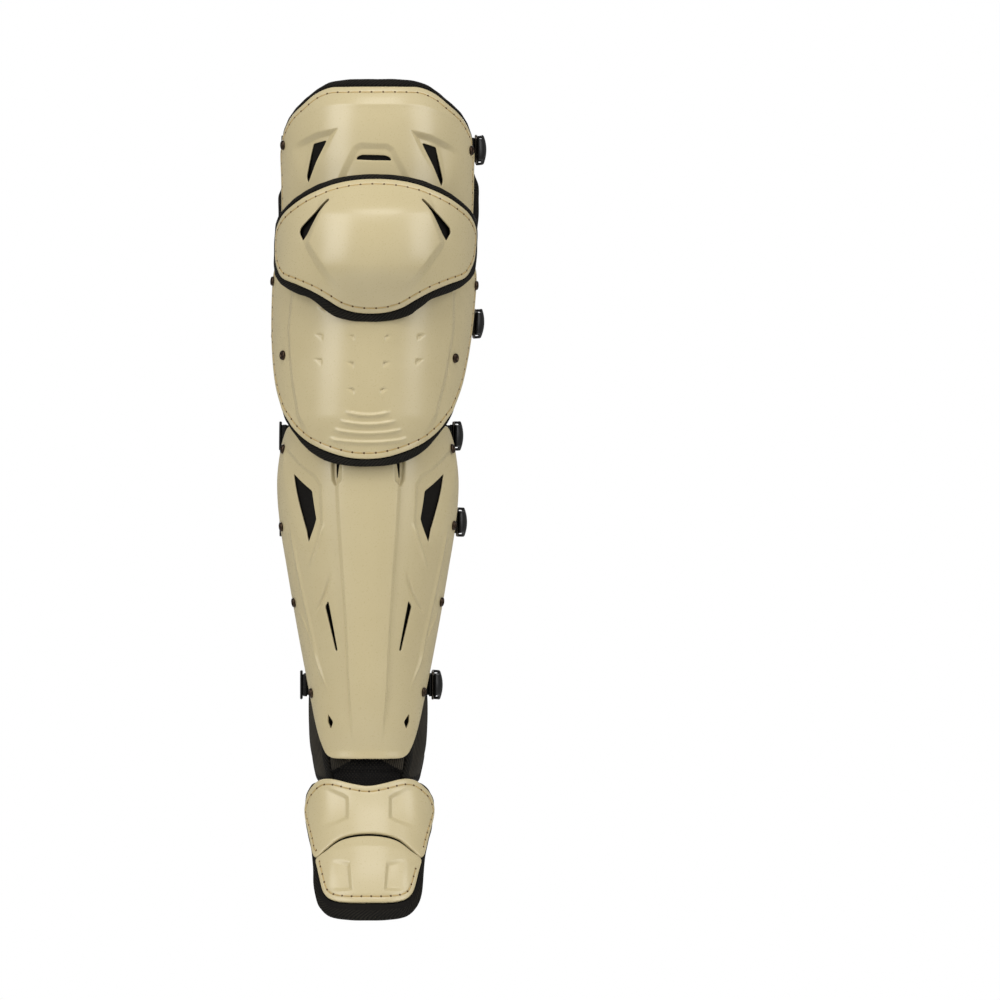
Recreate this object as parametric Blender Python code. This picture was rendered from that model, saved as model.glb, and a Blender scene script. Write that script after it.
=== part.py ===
"""A baseball catcher's leg guard, upright as it is worn.

Sizes are in millimetres here and the meshes are in metres. The origin is on the leg's axis at
the middle of the knee. The front faces -Y, up is +Z, and the clips are on the +X side.
"""

import collections
import math

import bpy
import numpy as np
from mathutils.geometry import delaunay_2d_cdt

MM = 0.001

# Walls and clearances
PLATE_WALL = 3.0
PAD_GAP = 1.2  # between a plate and the pad behind it
BORDER_SINK = 0.6  # a pad's border lies this far below the plate's face
BORDER_GAP = 0.7  # between a plate's edge and the pad's raised border
STEP_RUN = 0.4  # run of the step up to the raised border
RIM_WALL = 6.0  # thickness of a pad at its edge
RIM_BULGE = 1.5  # roundness of a pad's edge
WING_BULGE = 1.0
RIM_TAPER = 14.0  # a pad reaches its full thickness this far from its edge
SEAM = 1.5  # between the instep plate and the toe plate
STACK_GAP = 0.6675  # between the shin liner and the ankle wings below it

# How the guard sits on the leg: the upper part leans to +X and the thigh turns a little
LEAN = 8.3
LEAN_LOW = -165.0
LEAN_HIGH = 60.0
TURN = math.radians(-1.7)
TURN_LOW = 20.0
TURN_HIGH = 90.0

# Every plate reaches this far round the leg at its rows' half width
WRAP = math.radians(78)
OVERWRAP = math.radians(60)  # angle added for each whole share past the edge

# Meshing
EDGE_STEP = 12.0
VENT_STEP = 8.0
FILL_STEP = (14.0, 20.0)  # round the leg, and up
KNEE_FILL = (14.0, 14.0)
FOOT_FILL = (13.0, 14.0)
LATTICE_CLEAR = 0.45  # steps between the lattice and any line

Row = collections.namedtuple("Row", "down width front side")

# How far each piece stands in front of the leg's axis. The knee domes over the thigh plate and
# the lower knee plate, whose liner lies on the shin plate, which covers the top of the ankle.
LOWER_DEPTH = 87.0
LOWER_PAD_WALL = 7.8
LOWER_END = 0.965  # the lower knee plate's depth at its bottom edge, as a share
SHIN_CLEARANCE = 0.355  # between the lower knee liner and the shin plate
SHIN_DEPTH = LOWER_END * LOWER_DEPTH - PLATE_WALL - PAD_GAP - LOWER_PAD_WALL - SHIN_CLEARANCE
SHIN_END = 0.790  # the shin plate's depth at its bottom edge, as a share
ANKLE_SINK = 5.564  # the ankle's face behind the shin plate's at its bottom edge
ANKLE_DEPTH = SHIN_END * SHIN_DEPTH - ANKLE_SINK
ANKLE_END = 1.165  # the gusset's depth at its bottom edge, as a share
FOOT_DEPTH = 130.0
FOOT_STEP = 2.985  # the instep plate's top edge in front of the gusset
FOOT_START = (ANKLE_END * ANKLE_DEPTH + FOOT_STEP) / FOOT_DEPTH
KNEE_DOME = 31.0
KNEE_DEPTH = LOWER_DEPTH + KNEE_DOME
KNEE_START = 0.756  # the knee's depth at its top edge, as a share
THIGH_SINK = 7.208  # the thigh plate's face behind the knee's at its top edge
THIGH_DEPTH = KNEE_START * KNEE_DEPTH - THIGH_SINK

# How far up each piece starts: each is tucked under the one above it
THIGH_TOP = 126.8
THIGH_HEIGHT = 117.5
KNEE_TOP = 52.6
KNEE_HEIGHT = 108.6
LOWER_TUCK = 41.0
LOWER_TOP = KNEE_TOP - KNEE_HEIGHT + LOWER_TUCK
LOWER_HEIGHT = 156.4
SHIN_TUCK = 28.1
SHIN_TOP = LOWER_TOP - LOWER_HEIGHT + SHIN_TUCK
SHIN_HEIGHT = 268.5
ANKLE_TUCK = 67.8
ANKLE_TOP = SHIN_TOP - SHIN_HEIGHT + ANKLE_TUCK
ANKLE_HEIGHT = 83.9
FOOT_DROP = 15.7  # the instep plate starts this far below the shin plate
FOOT_TOP = SHIN_TOP - SHIN_HEIGHT - FOOT_DROP
FOOT_HEIGHT = 95.7

THIGH_HALF_WIDTH = 78.6
THIGH_PAD_WALL = 8.0
THIGH_ROWS = (
    Row(0.00, 0.97, 0.87, 0.12),
    Row(0.08, 0.98, 0.93, 0.15),
    Row(0.20, 1.00, 0.97, 0.18),
    Row(0.45, 1.00, 0.985, 0.20),
    Row(0.60, 0.995, 0.975, 0.20),
    Row(1.00, 0.985, 0.96, 0.20),
)

KNEE_HALF_WIDTH = 81.3
KNEE_PAD_WALL = 7.0
KNEE_ROWS = (
    Row(0.00, 1.00, KNEE_START, 0.36),
    Row(0.12, 1.00, 0.865, 0.36),
    Row(0.28, 1.00, 0.95, 0.36),
    Row(0.50, 1.00, 1.00, 0.36),
    Row(0.72, 1.00, 0.975, 0.36),
    Row(0.88, 1.00, 0.905, 0.36),
    Row(1.00, 1.00, 0.825, 0.36),
)

LOWER_HALF_WIDTH = 82.5
LOWER_ROWS = (
    Row(0.00, 1.00, 0.99, 0.12),
    Row(0.20, 1.00, 1.00, 0.13),
    Row(0.39, 0.98, 1.00, 0.15),
    Row(0.60, 0.95, 0.995, 0.20),
    Row(0.75, 0.92, 0.985, 0.24),
    Row(1.00, 0.90, LOWER_END, 0.27),
)

SHIN_HALF_WIDTH = 73.5
SHIN_PAD_WALL = 7.5
SHIN_PANEL_RISE = 2.2
SHIN_PANEL_FLANK = 4.5
SHIN_ROWS = (
    Row(0.00, 0.905, 1.000, 0.10),
    Row(0.08, 0.965, 1.000, 0.10),
    Row(0.155, 1.00, 1.000, 0.09),
    Row(0.22, 0.998, 0.995, 0.09),
    Row(0.30, 0.97, 0.985, 0.10),
    Row(0.44, 0.888, 0.965, 0.11),
    Row(0.63, 0.767, 0.930, 0.14),
    Row(0.77, 0.668, 0.900, 0.21),
    Row(0.82, 0.630, 0.885, 0.29),
    Row(0.90, 0.570, 0.855, 0.42),
    Row(1.00, 0.500, SHIN_END, 0.46),
)

FOOT_HALF_WIDTH = 52.6
FOOT_PAD_WALL = 7.0
FOOT_ROWS = (
    Row(0.00, 1.00, FOOT_START, 0.20),
    Row(0.25, 1.00, FOOT_START + 0.095, 0.30),
    Row(0.50, 1.00, 0.70, 0.42),
    Row(0.75, 1.00, 0.83, 0.55),
    Row(1.00, 1.00, 0.93, 0.66),
)

ANKLE_HALF_WIDTH = 46.0
ANKLE_WALL = 7.0
ANKLE_ROWS = (
    Row(0.00, 1.00, 1.00, 0.10),
    Row(0.50, 1.00, 1.00, 0.10),
    Row(0.75, 1.00, 0.99, 0.12),
    Row(1.00, 1.00, ANKLE_END, 0.18),
)

# Outlines: (across, down) as shares of the form's half width and height, from the middle of the
# top to the middle of the bottom on the +X side. The other half is its mirror image.
THIGH_OUTLINE = (
    (0.00, 0.00), (0.30, 0.00), (0.50, 0.005), (0.66, 0.05), (0.77, 0.115), (0.88, 0.185),
    (0.95, 0.26), (0.985, 0.33), (1.00, 0.42), (1.00, 0.60), (1.00, 0.80), (0.99, 0.93),
    (0.93, 0.99), (0.80, 1.00), (0.40, 1.00), (0.00, 1.00),
)  # fmt: skip
THIGH_PAD_OUTLINE = (
    (0.00, -0.042), (0.30, -0.04), (0.52, -0.02), (0.69, 0.04), (0.80, 0.10), (0.90, 0.165),
    (0.965, 0.245), (1.00, 0.32), (1.004, 0.42), (1.004, 0.50), (1.03, 0.62), (1.09, 0.72),
    (1.10, 0.90), (1.05, 0.98), (0.90, 1.00), (0.40, 1.00), (0.00, 1.00),
)  # fmt: skip
THIGH_SIDE_VENT = ((0.518, 0.388), (0.641, 0.412), (0.687, 0.649), (0.675, 0.673), (0.587, 0.528))
THIGH_MIDDLE_VENT = (
    (-0.19, 0.505), (-0.135, 0.467), (0.11, 0.467), (0.17, 0.485), (0.19, 0.513), (0.0, 0.515),
)  # fmt: skip

KNEE_OUTLINE = (
    (0.00, 0.00), (0.20, 0.008), (0.40, 0.037), (0.56, 0.08), (0.707, 0.132), (0.826, 0.19),
    (0.92, 0.25), (0.97, 0.31), (0.995, 0.37), (1.00, 0.45), (0.99, 0.58), (0.96, 0.66),
    (0.915, 0.72), (0.75, 0.78), (0.58, 0.838), (0.44, 0.897), (0.307, 0.956), (0.16, 0.99),
    (0.00, 1.00),
)  # fmt: skip
KNEE_PAD_OUTLINE = (
    (0.00, -0.04), (0.21, -0.032), (0.42, -0.003), (0.64, 0.06), (0.80, 0.132), (0.895, 0.19),
    (0.97, 0.25), (1.03, 0.31), (1.08, 0.38), (1.10, 0.45), (1.08, 0.60), (1.01, 0.68),
    (0.97, 0.73), (0.905, 0.78), (0.77, 0.838), (0.60, 0.89), (0.485, 0.956), (0.37, 1.015),
    (0.20, 1.05), (0.00, 1.06),
)  # fmt: skip
KNEE_VENT = ((0.46, 0.155), (0.60, 0.25), (0.725, 0.367), (0.735, 0.39), (0.70, 0.432), (0.57, 0.29))

LOWER_OUTLINE = (
    (0.00, 0.00), (0.45, 0.00), (0.90, 0.00), (0.985, 0.012), (1.00, 0.05), (1.00, 0.20),
    (1.00, 0.39), (0.974, 0.60), (0.93, 0.715), (0.905, 0.757), (0.855, 0.798), (0.80, 0.839),
    (0.716, 0.881), (0.598, 0.922), (0.407, 0.964), (0.19, 0.993), (0.00, 1.00),
)  # fmt: skip
LOWER_PAD_OUTLINE = (
    (0.00, 0.00), (0.45, 0.00), (0.90, 0.00), (0.985, 0.012), (1.00, 0.05), (1.008, 0.20),
    (1.008, 0.39), (0.97, 0.60), (0.932, 0.72), (0.917, 0.757), (0.888, 0.798), (0.836, 0.839),
    (0.77, 0.881), (0.70, 0.922), (0.602, 0.964), (0.443, 1.005), (0.235, 1.027), (0.00, 1.033),
)  # fmt: skip

SHIN_OUTLINE = (
    (0.00, 0.00), (0.45, 0.00), (0.90, 0.00), (0.98, 0.012), (1.00, 0.05), (1.00, 0.15),
    (1.00, 0.40), (1.00, 0.65), (1.00, 0.82), (1.00, 0.88), (0.985, 0.925), (0.92, 0.975),
    (0.78, 0.996), (0.50, 1.00), (0.00, 1.00),
)  # fmt: skip
SHIN_PAD_END = 1 - (ANKLE_TUCK + STACK_GAP) / SHIN_HEIGHT  # it stops above the ankle wings
SHIN_PAD_OUTLINE = (
    (0.00, 0.01), (0.45, 0.01), (0.90, 0.00), (0.98, 0.00), (1.00, 0.02), (1.00, 0.06),
    (1.00, 0.12), (1.00, 0.40), (1.00, 0.62), (1.00, SHIN_PAD_END - 0.045),
    (0.96, SHIN_PAD_END - 0.003), (0.45, SHIN_PAD_END), (0.00, SHIN_PAD_END),
)  # fmt: skip
SHIN_PANEL = ((0.12, 0.345), (0.175, 0.335), (0.40, 0.315), (0.64, 0.302), (0.83, 0.315), (0.92, 0.31))
SHIN_TOP_SLIT = ((0.325, 0.118), (0.345, 0.118), (0.372, 0.16), (0.355, 0.163))
SHIN_UPPER_VENT = ((0.82, 0.154), (0.632, 0.203), (0.588, 0.285), (0.655, 0.346), (0.725, 0.26))
SHIN_LOWER_SLIT = ((0.532, 0.53), (0.565, 0.548), (0.51, 0.669), (0.488, 0.678), (0.478, 0.67))
SHIN_BOTTOM_VENT = ((0.765, 0.872), (0.69, 0.893), (0.748, 0.913), (0.79, 0.892))

INSTEP_TOP_EDGE = (
    (0.00, 0.056), (0.25, 0.036), (0.45, 0.01), (0.60, 0.00), (0.74, 0.016), (0.868, 0.073),
    (0.951, 0.138), (0.985, 0.203), (1.00, 0.268), (0.99, 0.333), (0.96, 0.398), (0.93, 0.463),
    (0.90, 0.528), (0.875, 0.593), (0.845, 0.636),
)  # fmt: skip
INSTEP_ARCH = ((0.81, 0.646), (0.66, 0.575), (0.46, 0.49), (0.25, 0.452), (0.00, 0.44))
TOE_EDGE = (
    (0.81, 0.685), (0.79, 0.724), (0.76, 0.789), (0.73, 0.854), (0.69, 0.919), (0.62, 0.965),
    (0.50, 0.99), (0.30, 1.00), (0.00, 1.00),
)  # fmt: skip
FOOT_PAD_OUTLINE = (
    (0.00, 0.069), (0.30, 0.069), (0.60, 0.069), (0.80, 0.08), (0.92, 0.13), (0.98, 0.22),
    (0.98, 0.30), (0.93, 0.42), (0.895, 0.52), (0.875, 0.60), (0.868, 0.68), (0.86, 0.74),
    (0.845, 0.80), (0.837, 0.854), (0.814, 0.919), (0.784, 0.984), (0.738, 1.05), (0.616, 1.114),
    (0.30, 1.146), (0.00, 1.15),
)  # fmt: skip

WING_OUTLINE = (
    (0.725, 0.06), (0.80, 0.00), (1.10, 0.00), (1.35, 0.05), (1.55, 0.20), (1.65, 0.45),
    (1.60, 0.70), (1.42, 0.90), (1.18, 0.985), (0.95, 1.00), (0.77, 0.985), (0.725, 0.92),
    (0.725, 0.75), (0.725, 0.50), (0.725, 0.25),
)  # fmt: skip
GUSSET_OUTLINE = (
    (0.00, 0.60), (0.40, 0.60), (0.65, 0.60), (0.69, 0.64), (0.695, 0.78), (0.695, 0.92),
    (0.69, 1.01), (0.65, 1.055), (0.40, 1.066), (0.00, 1.066),
)  # fmt: skip

# Rivets: the form they sit on and their place on it
RIVET_RADIUS = 3.3
RIVET_RISE = 1.8
RIVET_GAP = 0.35
Rivet = collections.namedtuple("Rivet", "form across down")
RIVETS = (
    Rivet("thigh", -0.954, 0.381),
    Rivet("thigh", 0.965, 0.418),
    Rivet("lower", -0.99, 0.078),
    Rivet("lower", 0.99, 0.100),
    Rivet("lower", -0.870, 0.465),
    Rivet("lower", 0.858, 0.480),
    Rivet("shin", -0.965, 0.073),
    Rivet("shin", 0.965, 0.072),
    Rivet("shin", -0.975, 0.307),
    Rivet("shin", 0.972, 0.303),
    Rivet("shin", -0.970, 0.535),
    Rivet("shin", 0.970, 0.533),
    Rivet("shin", -0.955, 0.806),
    Rivet("shin", 0.952, 0.803),
)

# Straps
STRAP_WIDTH = 18.0
STRAP_WALL = 1.6
CLIP_HEIGHT = 24.0
CLIP_WALL = 3.0
CLIP_WINDOW = 10.0
CLIP_CORNER = 2.5
HOOK_RUN = 17.0  # run of the hook that passes through the ring
STRAP_CLEARANCE = 0.8  # between the strap and the sides of a window
WIRE_RADIUS = 1.0
WIRE_CLEARANCE = 0.4
RING_LENGTH = 11.3
SLIDER_LENGTH = 17.0
SLIDER_HEIGHT = 23.5
SLIDER_WALL = 1.8
SLIDER_GAP = 0.5
# out: how far the fittings stand beyond the plate's half width. flare: the strap beyond them.
# start: where the webbing starts behind the plate's edge.
Strap = collections.namedtuple("Strap", "name form height back out flare start")
STRAPS = (
    Strap("thigh", "thigh", THIGH_TOP - 47.0, 68.0, 0.0, -3.0, 2.3),
    Strap("knee", "lower", LOWER_TOP - 46.0, 62.0, 0.0, -3.0, 1.4),
    Strap("calf_upper", "shin", SHIN_TOP - 8.7, 66.0, 0.0, 1.0, 3.2),
    Strap("calf_lower", "shin", SHIN_TOP - 78.7, 62.0, 0.0, -2.5, 1.9),
    Strap("ankle", "shin", ANKLE_TOP - 10.0, 46.0, 3.5, 0.3, 3.2),
)
# Plan of a clip, from the hook's tip to the rear bar: (out from the plate's edge, behind it)
CLIP_PLAN = (
    (-2.7, 22.0), (-2.7, 18.5), (-1.4, 15.2), (2.0, 14.0), (5.6, 16.0), (7.6, 20.5), (7.8, 25.5),
    (6.6, 30.5), (4.6, 35.0), (2.8, 38.8), (1.2, 42.0),
)  # fmt: skip
RING_REAR = (0.6, 19.5)
BAR = (2.2, 40.3)
STRAP_TURN = (3.2, 3.9)  # how far the strap's fold clears the middle of the rear bar
FOLD_LENGTH = 14.0
BACK_START = 46.0

FINISHES = {
    "shell": ((0.62, 0.55, 0.36), 0.33, 0.0),
    "pad": ((0.012, 0.011, 0.010), 0.85, 0.0),
    "mesh": ((0.035, 0.033, 0.030), 0.9, 0.0),
    "webbing": ((0.015, 0.014, 0.013), 0.8, 0.0),
    "clip": ((0.014, 0.014, 0.014), 0.45, 0.0),
    "metal": ((0.09, 0.06, 0.035), 0.4, 1.0),
}


def smooth(share):
    share = np.clip(share, 0.0, 1.0)
    return share * share * (3 - 2 * share)


def posed(x, y, z):
    """The point where the leaning, slightly turned guard has it."""
    x, y, z = np.broadcast_arrays(x, y, z)
    lean = LEAN * smooth((z - LEAN_LOW) / (LEAN_HIGH - LEAN_LOW))
    turn = TURN * smooth((z - TURN_LOW) / (TURN_HIGH - TURN_LOW))
    return np.stack(
        (x * np.cos(turn) - y * np.sin(turn) + lean, x * np.sin(turn) + y * np.cos(turn), z),
        axis=-1,
    )


def eased(known, values, at):
    """A smooth curve through the values, straight past its ends."""
    known = np.asarray(known, float)
    values = np.asarray(values, float)
    slopes = np.gradient(values, known)
    at = np.asarray(at, float)
    index = np.clip(np.searchsorted(known, at) - 1, 0, len(known) - 2)
    run = known[index + 1] - known[index]
    share = np.clip((at - known[index]) / run, 0.0, 1.0)
    square, cube = share**2, share**3
    curve = (
        (2 * cube - 3 * square + 1) * values[index]
        + (cube - 2 * square + share) * run * slopes[index]
        + (3 * square - 2 * cube) * values[index + 1]
        + (cube - square) * run * slopes[index + 1]
    )
    below = np.minimum(at - known[0], 0.0) * slopes[0]
    above = np.maximum(at - known[-1], 0.0) * slopes[-1]
    return curve + below + above


class Form:
    """A face that curves round the leg. Its flat coordinates are millimetres round and up."""

    def __init__(self, top, height, half_width, depth, rows, fill=FILL_STEP):
        self.top = top
        self.height = height
        self.half_width = half_width
        self.depth = depth
        self.rows = rows
        self.fill = fill
        self.radius = half_width / math.sin(WRAP)

    def column(self, name, up):
        down = (self.top - np.asarray(up, float)) / self.height
        return eased([row.down for row in self.rows], [getattr(row, name) for row in self.rows], down)

    def place(self, round_, up):
        angle = np.asarray(round_, float) / self.radius
        reach = self.half_width * self.column("width", up) / math.sin(WRAP)
        front = self.depth * self.column("front", up)
        side = self.depth * self.column("side", up)
        bulge = (front - side) / (1 - math.cos(WRAP))
        return posed(reach * np.sin(angle), bulge * (1 - np.cos(angle)) - front, up)

    def flat(self, points):
        """Flat coordinates of (across, down) shares."""
        across, down = np.asarray(points, float).T
        size = np.abs(across)
        angle = np.arcsin(np.minimum(size, 1.0) * math.sin(WRAP))
        angle = angle + np.maximum(size - 1.0, 0.0) * OVERWRAP
        return np.stack((np.sign(across) * angle * self.radius, self.top - down * self.height), axis=-1)

    def edge(self, up, half):
        """Half width at this height and the rearmost depth of the plate's edge near it, unposed."""
        reach = self.half_width * float(self.column("width", up))
        ups = np.linspace(up - half, up + half, 7)
        return reach, -self.depth * float(self.column("side", ups).min())


FORMS = {
    "thigh": Form(THIGH_TOP, THIGH_HEIGHT, THIGH_HALF_WIDTH, THIGH_DEPTH, THIGH_ROWS),
    "knee": Form(KNEE_TOP, KNEE_HEIGHT, KNEE_HALF_WIDTH, KNEE_DEPTH, KNEE_ROWS, KNEE_FILL),
    "lower": Form(LOWER_TOP, LOWER_HEIGHT, LOWER_HALF_WIDTH, LOWER_DEPTH, LOWER_ROWS),
    "shin": Form(SHIN_TOP, SHIN_HEIGHT, SHIN_HALF_WIDTH, SHIN_DEPTH, SHIN_ROWS),
    "foot": Form(FOOT_TOP, FOOT_HEIGHT, FOOT_HALF_WIDTH, FOOT_DEPTH, FOOT_ROWS, FOOT_FILL),
    "ankle": Form(ANKLE_TOP, ANKLE_HEIGHT, ANKLE_HALF_WIDTH, ANKLE_DEPTH, ANKLE_ROWS),
}


def curve_through(points, step, closed):
    """Points at even steps along a smooth curve through the given ones."""
    points = np.asarray(points, float)
    if closed:
        points = np.vstack((points[-2:], points, points[:3]))
    else:
        points = np.vstack((2 * points[0] - points[1], points, 2 * points[-1] - points[-2]))
    knots = np.concatenate(([0.0], np.cumsum(np.linalg.norm(np.diff(points, axis=0), axis=1) ** 0.5)))
    first, last = (2, len(points) - 3) if closed else (1, len(points) - 2)
    fine = np.linspace(knots[first], knots[last], 40 * (last - first) + 1)
    index = np.clip(np.searchsorted(knots, fine, side="right") - 1, 1, len(points) - 3)
    span = [knots[index + offset] for offset in (-1, 0, 1, 2)]
    hold = [points[index + offset] for offset in (-1, 0, 1, 2)]

    def between(left, right, low, high):
        share = ((fine - low) / (high - low))[:, None]
        return left * (1 - share) + right * share

    pairs = [between(hold[k], hold[k + 1], span[k], span[k + 1]) for k in range(3)]
    triples = [between(pairs[k], pairs[k + 1], span[k], span[k + 2]) for k in range(2)]
    path = between(triples[0], triples[1], span[1], span[2])
    return resampled(path, step, closed)


def resampled(path, step, closed):
    along = np.concatenate(([0.0], np.cumsum(np.linalg.norm(np.diff(path, axis=0), axis=1))))
    count = max(3, round(along[-1] / step))
    wanted = np.linspace(0.0, along[-1], count + 1)
    if closed:
        wanted = wanted[:-1]
    return np.stack([np.interp(wanted, along, path[:, k]) for k in range(2)], axis=-1)


def mirrored(loop):
    return np.asarray(loop, float)[::-1] * (-1, 1)


def whole(half):
    """The closed outline whose +X half runs from the middle of the top to that of the bottom."""
    half = np.asarray(half, float)
    return np.vstack((half, mirrored(half)[1:-1]))


def counter_clockwise(loop):
    following = np.roll(loop, -1, axis=0)
    area = (loop[:, 0] * following[:, 1] - following[:, 0] * loop[:, 1]).sum()
    return loop if area > 0 else loop[::-1]


def outline_on(form, half, step=EDGE_STEP):
    return counter_clockwise(curve_through(form.flat(whole(half)), step, True))


def grown(loop, by):
    """The closed loop moved outward."""
    ahead = np.roll(loop, -1, axis=0) - np.roll(loop, 1, axis=0)
    ahead /= np.linalg.norm(ahead, axis=1)[:, None]
    return loop + by * np.stack((ahead[:, 1], -ahead[:, 0]), axis=-1)


def inside(loop, points):
    following = np.roll(loop, -1, axis=0)
    x, y = points[:, 0][:, None], points[:, 1][:, None]
    crosses = (loop[:, 1] > y) != (following[:, 1] > y)
    rise = following[:, 1] - loop[:, 1]
    rise = np.where(rise == 0, 1e-12, rise)
    at = loop[:, 0] + (y - loop[:, 1]) * (following[:, 0] - loop[:, 0]) / rise
    return (crosses & (x < at)).sum(axis=1) % 2 == 1


def distance(line, points, closed=True):
    """How far each point lies from the line."""
    start = line if closed else line[:-1]
    end = np.roll(line, -1, axis=0) if closed else line[1:]
    run = end - start
    offset = points[:, None, :] - start[None]
    share = (offset * run).sum(-1) / np.maximum((run * run).sum(-1), 1e-12)
    nearest = start + np.clip(share, 0, 1)[..., None] * run
    return np.linalg.norm(points[:, None, :] - nearest, axis=-1).min(axis=1)


def lattice(outline, lines, fill):
    """Points of a staggered lattice inside the outline that keep clear of every line."""
    stepping = np.asarray(fill, float)
    low = np.floor(outline.min(axis=0) / stepping).astype(int) - 1
    high = np.ceil(outline.max(axis=0) / stepping).astype(int) + 1
    points = []
    for row in range(low[1], high[1] + 1):
        for column in range(low[0], high[0] + 1):
            points.append(((column + 0.5 * (row % 2)) * fill[0], row * fill[1]))
    points = np.array(points)
    points = points[inside(outline, points)]
    for line, closed in lines:
        if len(points):
            clear = distance(line / stepping, points / stepping, closed) > LATTICE_CLEAR
            points = points[clear]
    return points


def triangulated(outline, holes, creases, fill):
    lines = [(outline, True)] + [(hole, True) for hole in holes] + creases
    flat, edges = [], []
    for line, closed in lines:
        start = len(flat)
        flat.extend(line)
        count = len(line)
        edges.extend((start + k, start + (k + 1) % count) for k in range(count if closed else count - 1))
    if fill:
        flat.extend(lattice(outline, lines, fill))
    flat, _, faces, *_ = delaunay_2d_cdt([tuple(map(float, p)) for p in flat], edges, [], 0, 1e-4)
    flat = np.array([tuple(p) for p in flat])
    faces = np.array(faces)
    middle = flat[faces].mean(axis=1)
    keep = inside(outline, middle)
    for hole in holes:
        keep &= ~inside(hole, middle)
    faces = faces[keep]
    a, b, c = (flat[faces[:, k]] for k in range(3))
    turned = (b[:, 0] - a[:, 0]) * (c[:, 1] - a[:, 1]) - (b[:, 1] - a[:, 1]) * (c[:, 0] - a[:, 0]) < 0
    faces[turned] = faces[turned][:, ::-1]
    used = np.unique(faces)
    renumber = np.full(len(flat), -1)
    renumber[used] = np.arange(len(used))
    return flat[used], renumber[faces]


def normals(place, flat, reach=0.5):
    u, v = flat.T
    across = place(u + reach, v) - place(u - reach, v)
    upward = place(u, v + reach) - place(u, v - reach)
    found = np.cross(across, upward)
    return found / np.linalg.norm(found, axis=1)[:, None]


def border_edges(faces):
    ends = np.concatenate((faces[:, [0, 1]], faces[:, [1, 2]], faces[:, [2, 0]]))
    _, index, count = np.unique(np.sort(ends, axis=1), axis=0, return_inverse=True, return_counts=True)
    return ends[count[index.reshape(-1)] == 1]


def outward(flat, edges):
    """Unit directions out of the region at the ends of its border edges."""
    run = flat[edges[:, 1]] - flat[edges[:, 0]]
    side = np.stack((run[:, 1], -run[:, 0]), axis=-1)
    side /= np.maximum(np.linalg.norm(side, axis=1), 1e-9)[:, None]
    total = np.zeros_like(flat)
    for k in range(2):
        np.add.at(total, edges[:, k], side)
    return total / np.maximum(np.linalg.norm(total, axis=1), 1e-9)[:, None]


def shell(name, finish, outline, place, outer, inner, holes=(), creases=(), fill=FILL_STEP, bulge=0.0):
    """A closed wall over a flat region: outer and inner are its faces' distances along the normal."""
    flat, faces = triangulated(outline, list(holes), list(creases), fill)
    face_normals = normals(place, flat)
    base = place(*flat.T)
    outer_depth = np.broadcast_to(outer(flat), len(flat))
    inner_depth = np.broadcast_to(inner(flat), len(flat))
    top = base + face_normals * outer_depth[:, None]
    bottom = base + face_normals * inner_depth[:, None]
    count = len(flat)
    edges = border_edges(faces)
    points = [top, bottom]
    rings = [np.arange(count), np.arange(count) + count]
    if bulge:
        moved = flat + bulge * outward(flat, edges)
        middle = 0.5 * (outer_depth + inner_depth)
        used = np.unique(edges)
        points.append((place(*moved.T) + normals(place, moved) * middle[:, None])[used])
        ring = np.zeros(count, int)
        ring[used] = 2 * count + np.arange(len(used))
        rings.insert(1, ring)
    quads = []
    for upper, lower in zip(rings, rings[1:]):
        quads.append(np.stack((upper[edges[:, 1]], upper[edges[:, 0]], lower[edges[:, 0]], lower[edges[:, 1]]), axis=-1))
    quads = np.concatenate(quads)
    triangles = np.concatenate((faces, faces[:, ::-1] + count, quads[:, [0, 1, 2]], quads[:, [0, 2, 3]]))
    return solid(name, finish, np.concatenate(points), triangles)


def solid(name, finish, points, triangles):
    mesh = bpy.data.meshes.new(name)
    mesh.from_pydata((np.asarray(points) * MM).tolist(), [], np.asarray(triangles).tolist())
    mesh.update()
    mesh.materials.append(material(finish))
    piece = bpy.data.objects.new(name, mesh)
    bpy.context.scene.collection.objects.link(piece)
    mesh.shade_smooth()
    mesh.set_sharp_from_angle(angle=math.radians(38))
    return piece


def material(finish):
    if finish in bpy.data.materials:
        return bpy.data.materials[finish]
    colour, roughness, metallic = FINISHES[finish]
    made = bpy.data.materials.new(finish)
    made.use_nodes = True
    shader = made.node_tree.nodes["Principled BSDF"]
    shader.inputs["Base Color"].default_value = (*colour, 1.0)
    shader.inputs["Roughness"].default_value = roughness
    shader.inputs["Metallic"].default_value = metallic
    made.diffuse_color = (*colour, 1.0)
    return made


def flat_depth(value):
    return lambda flat: np.full(len(flat), value)


def split(loop, most):
    """The loop with points added until no side runs further round the leg than this."""
    found = []
    for start, end in zip(loop, np.roll(loop, -1, axis=0)):
        count = max(1, math.ceil(abs(end[0] - start[0]) / most))
        found += [start + (end - start) * k / count for k in range(count)]
    return np.array(found)


def vents_on(form, loops):
    """Each loop and its mirror image, in the form's flat coordinates."""
    found = []
    for loop in loops:
        found.append(loop)
        if min(across for across, _ in loop) > 0:
            found.append(mirrored(loop))
    return [split(counter_clockwise(form.flat(loop)), VENT_STEP) for loop in found]


def plate(name, form, half, vents=(), relief=None, creases=()):
    outline = outline_on(form, half)
    outer = relief or flat_depth(0.0)
    return shell(
        name, "shell", outline, form.place, outer, flat_depth(-PLATE_WALL),
        holes=vents_on(form, vents), creases=creases, fill=form.fill,
    )  # fmt: skip


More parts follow.
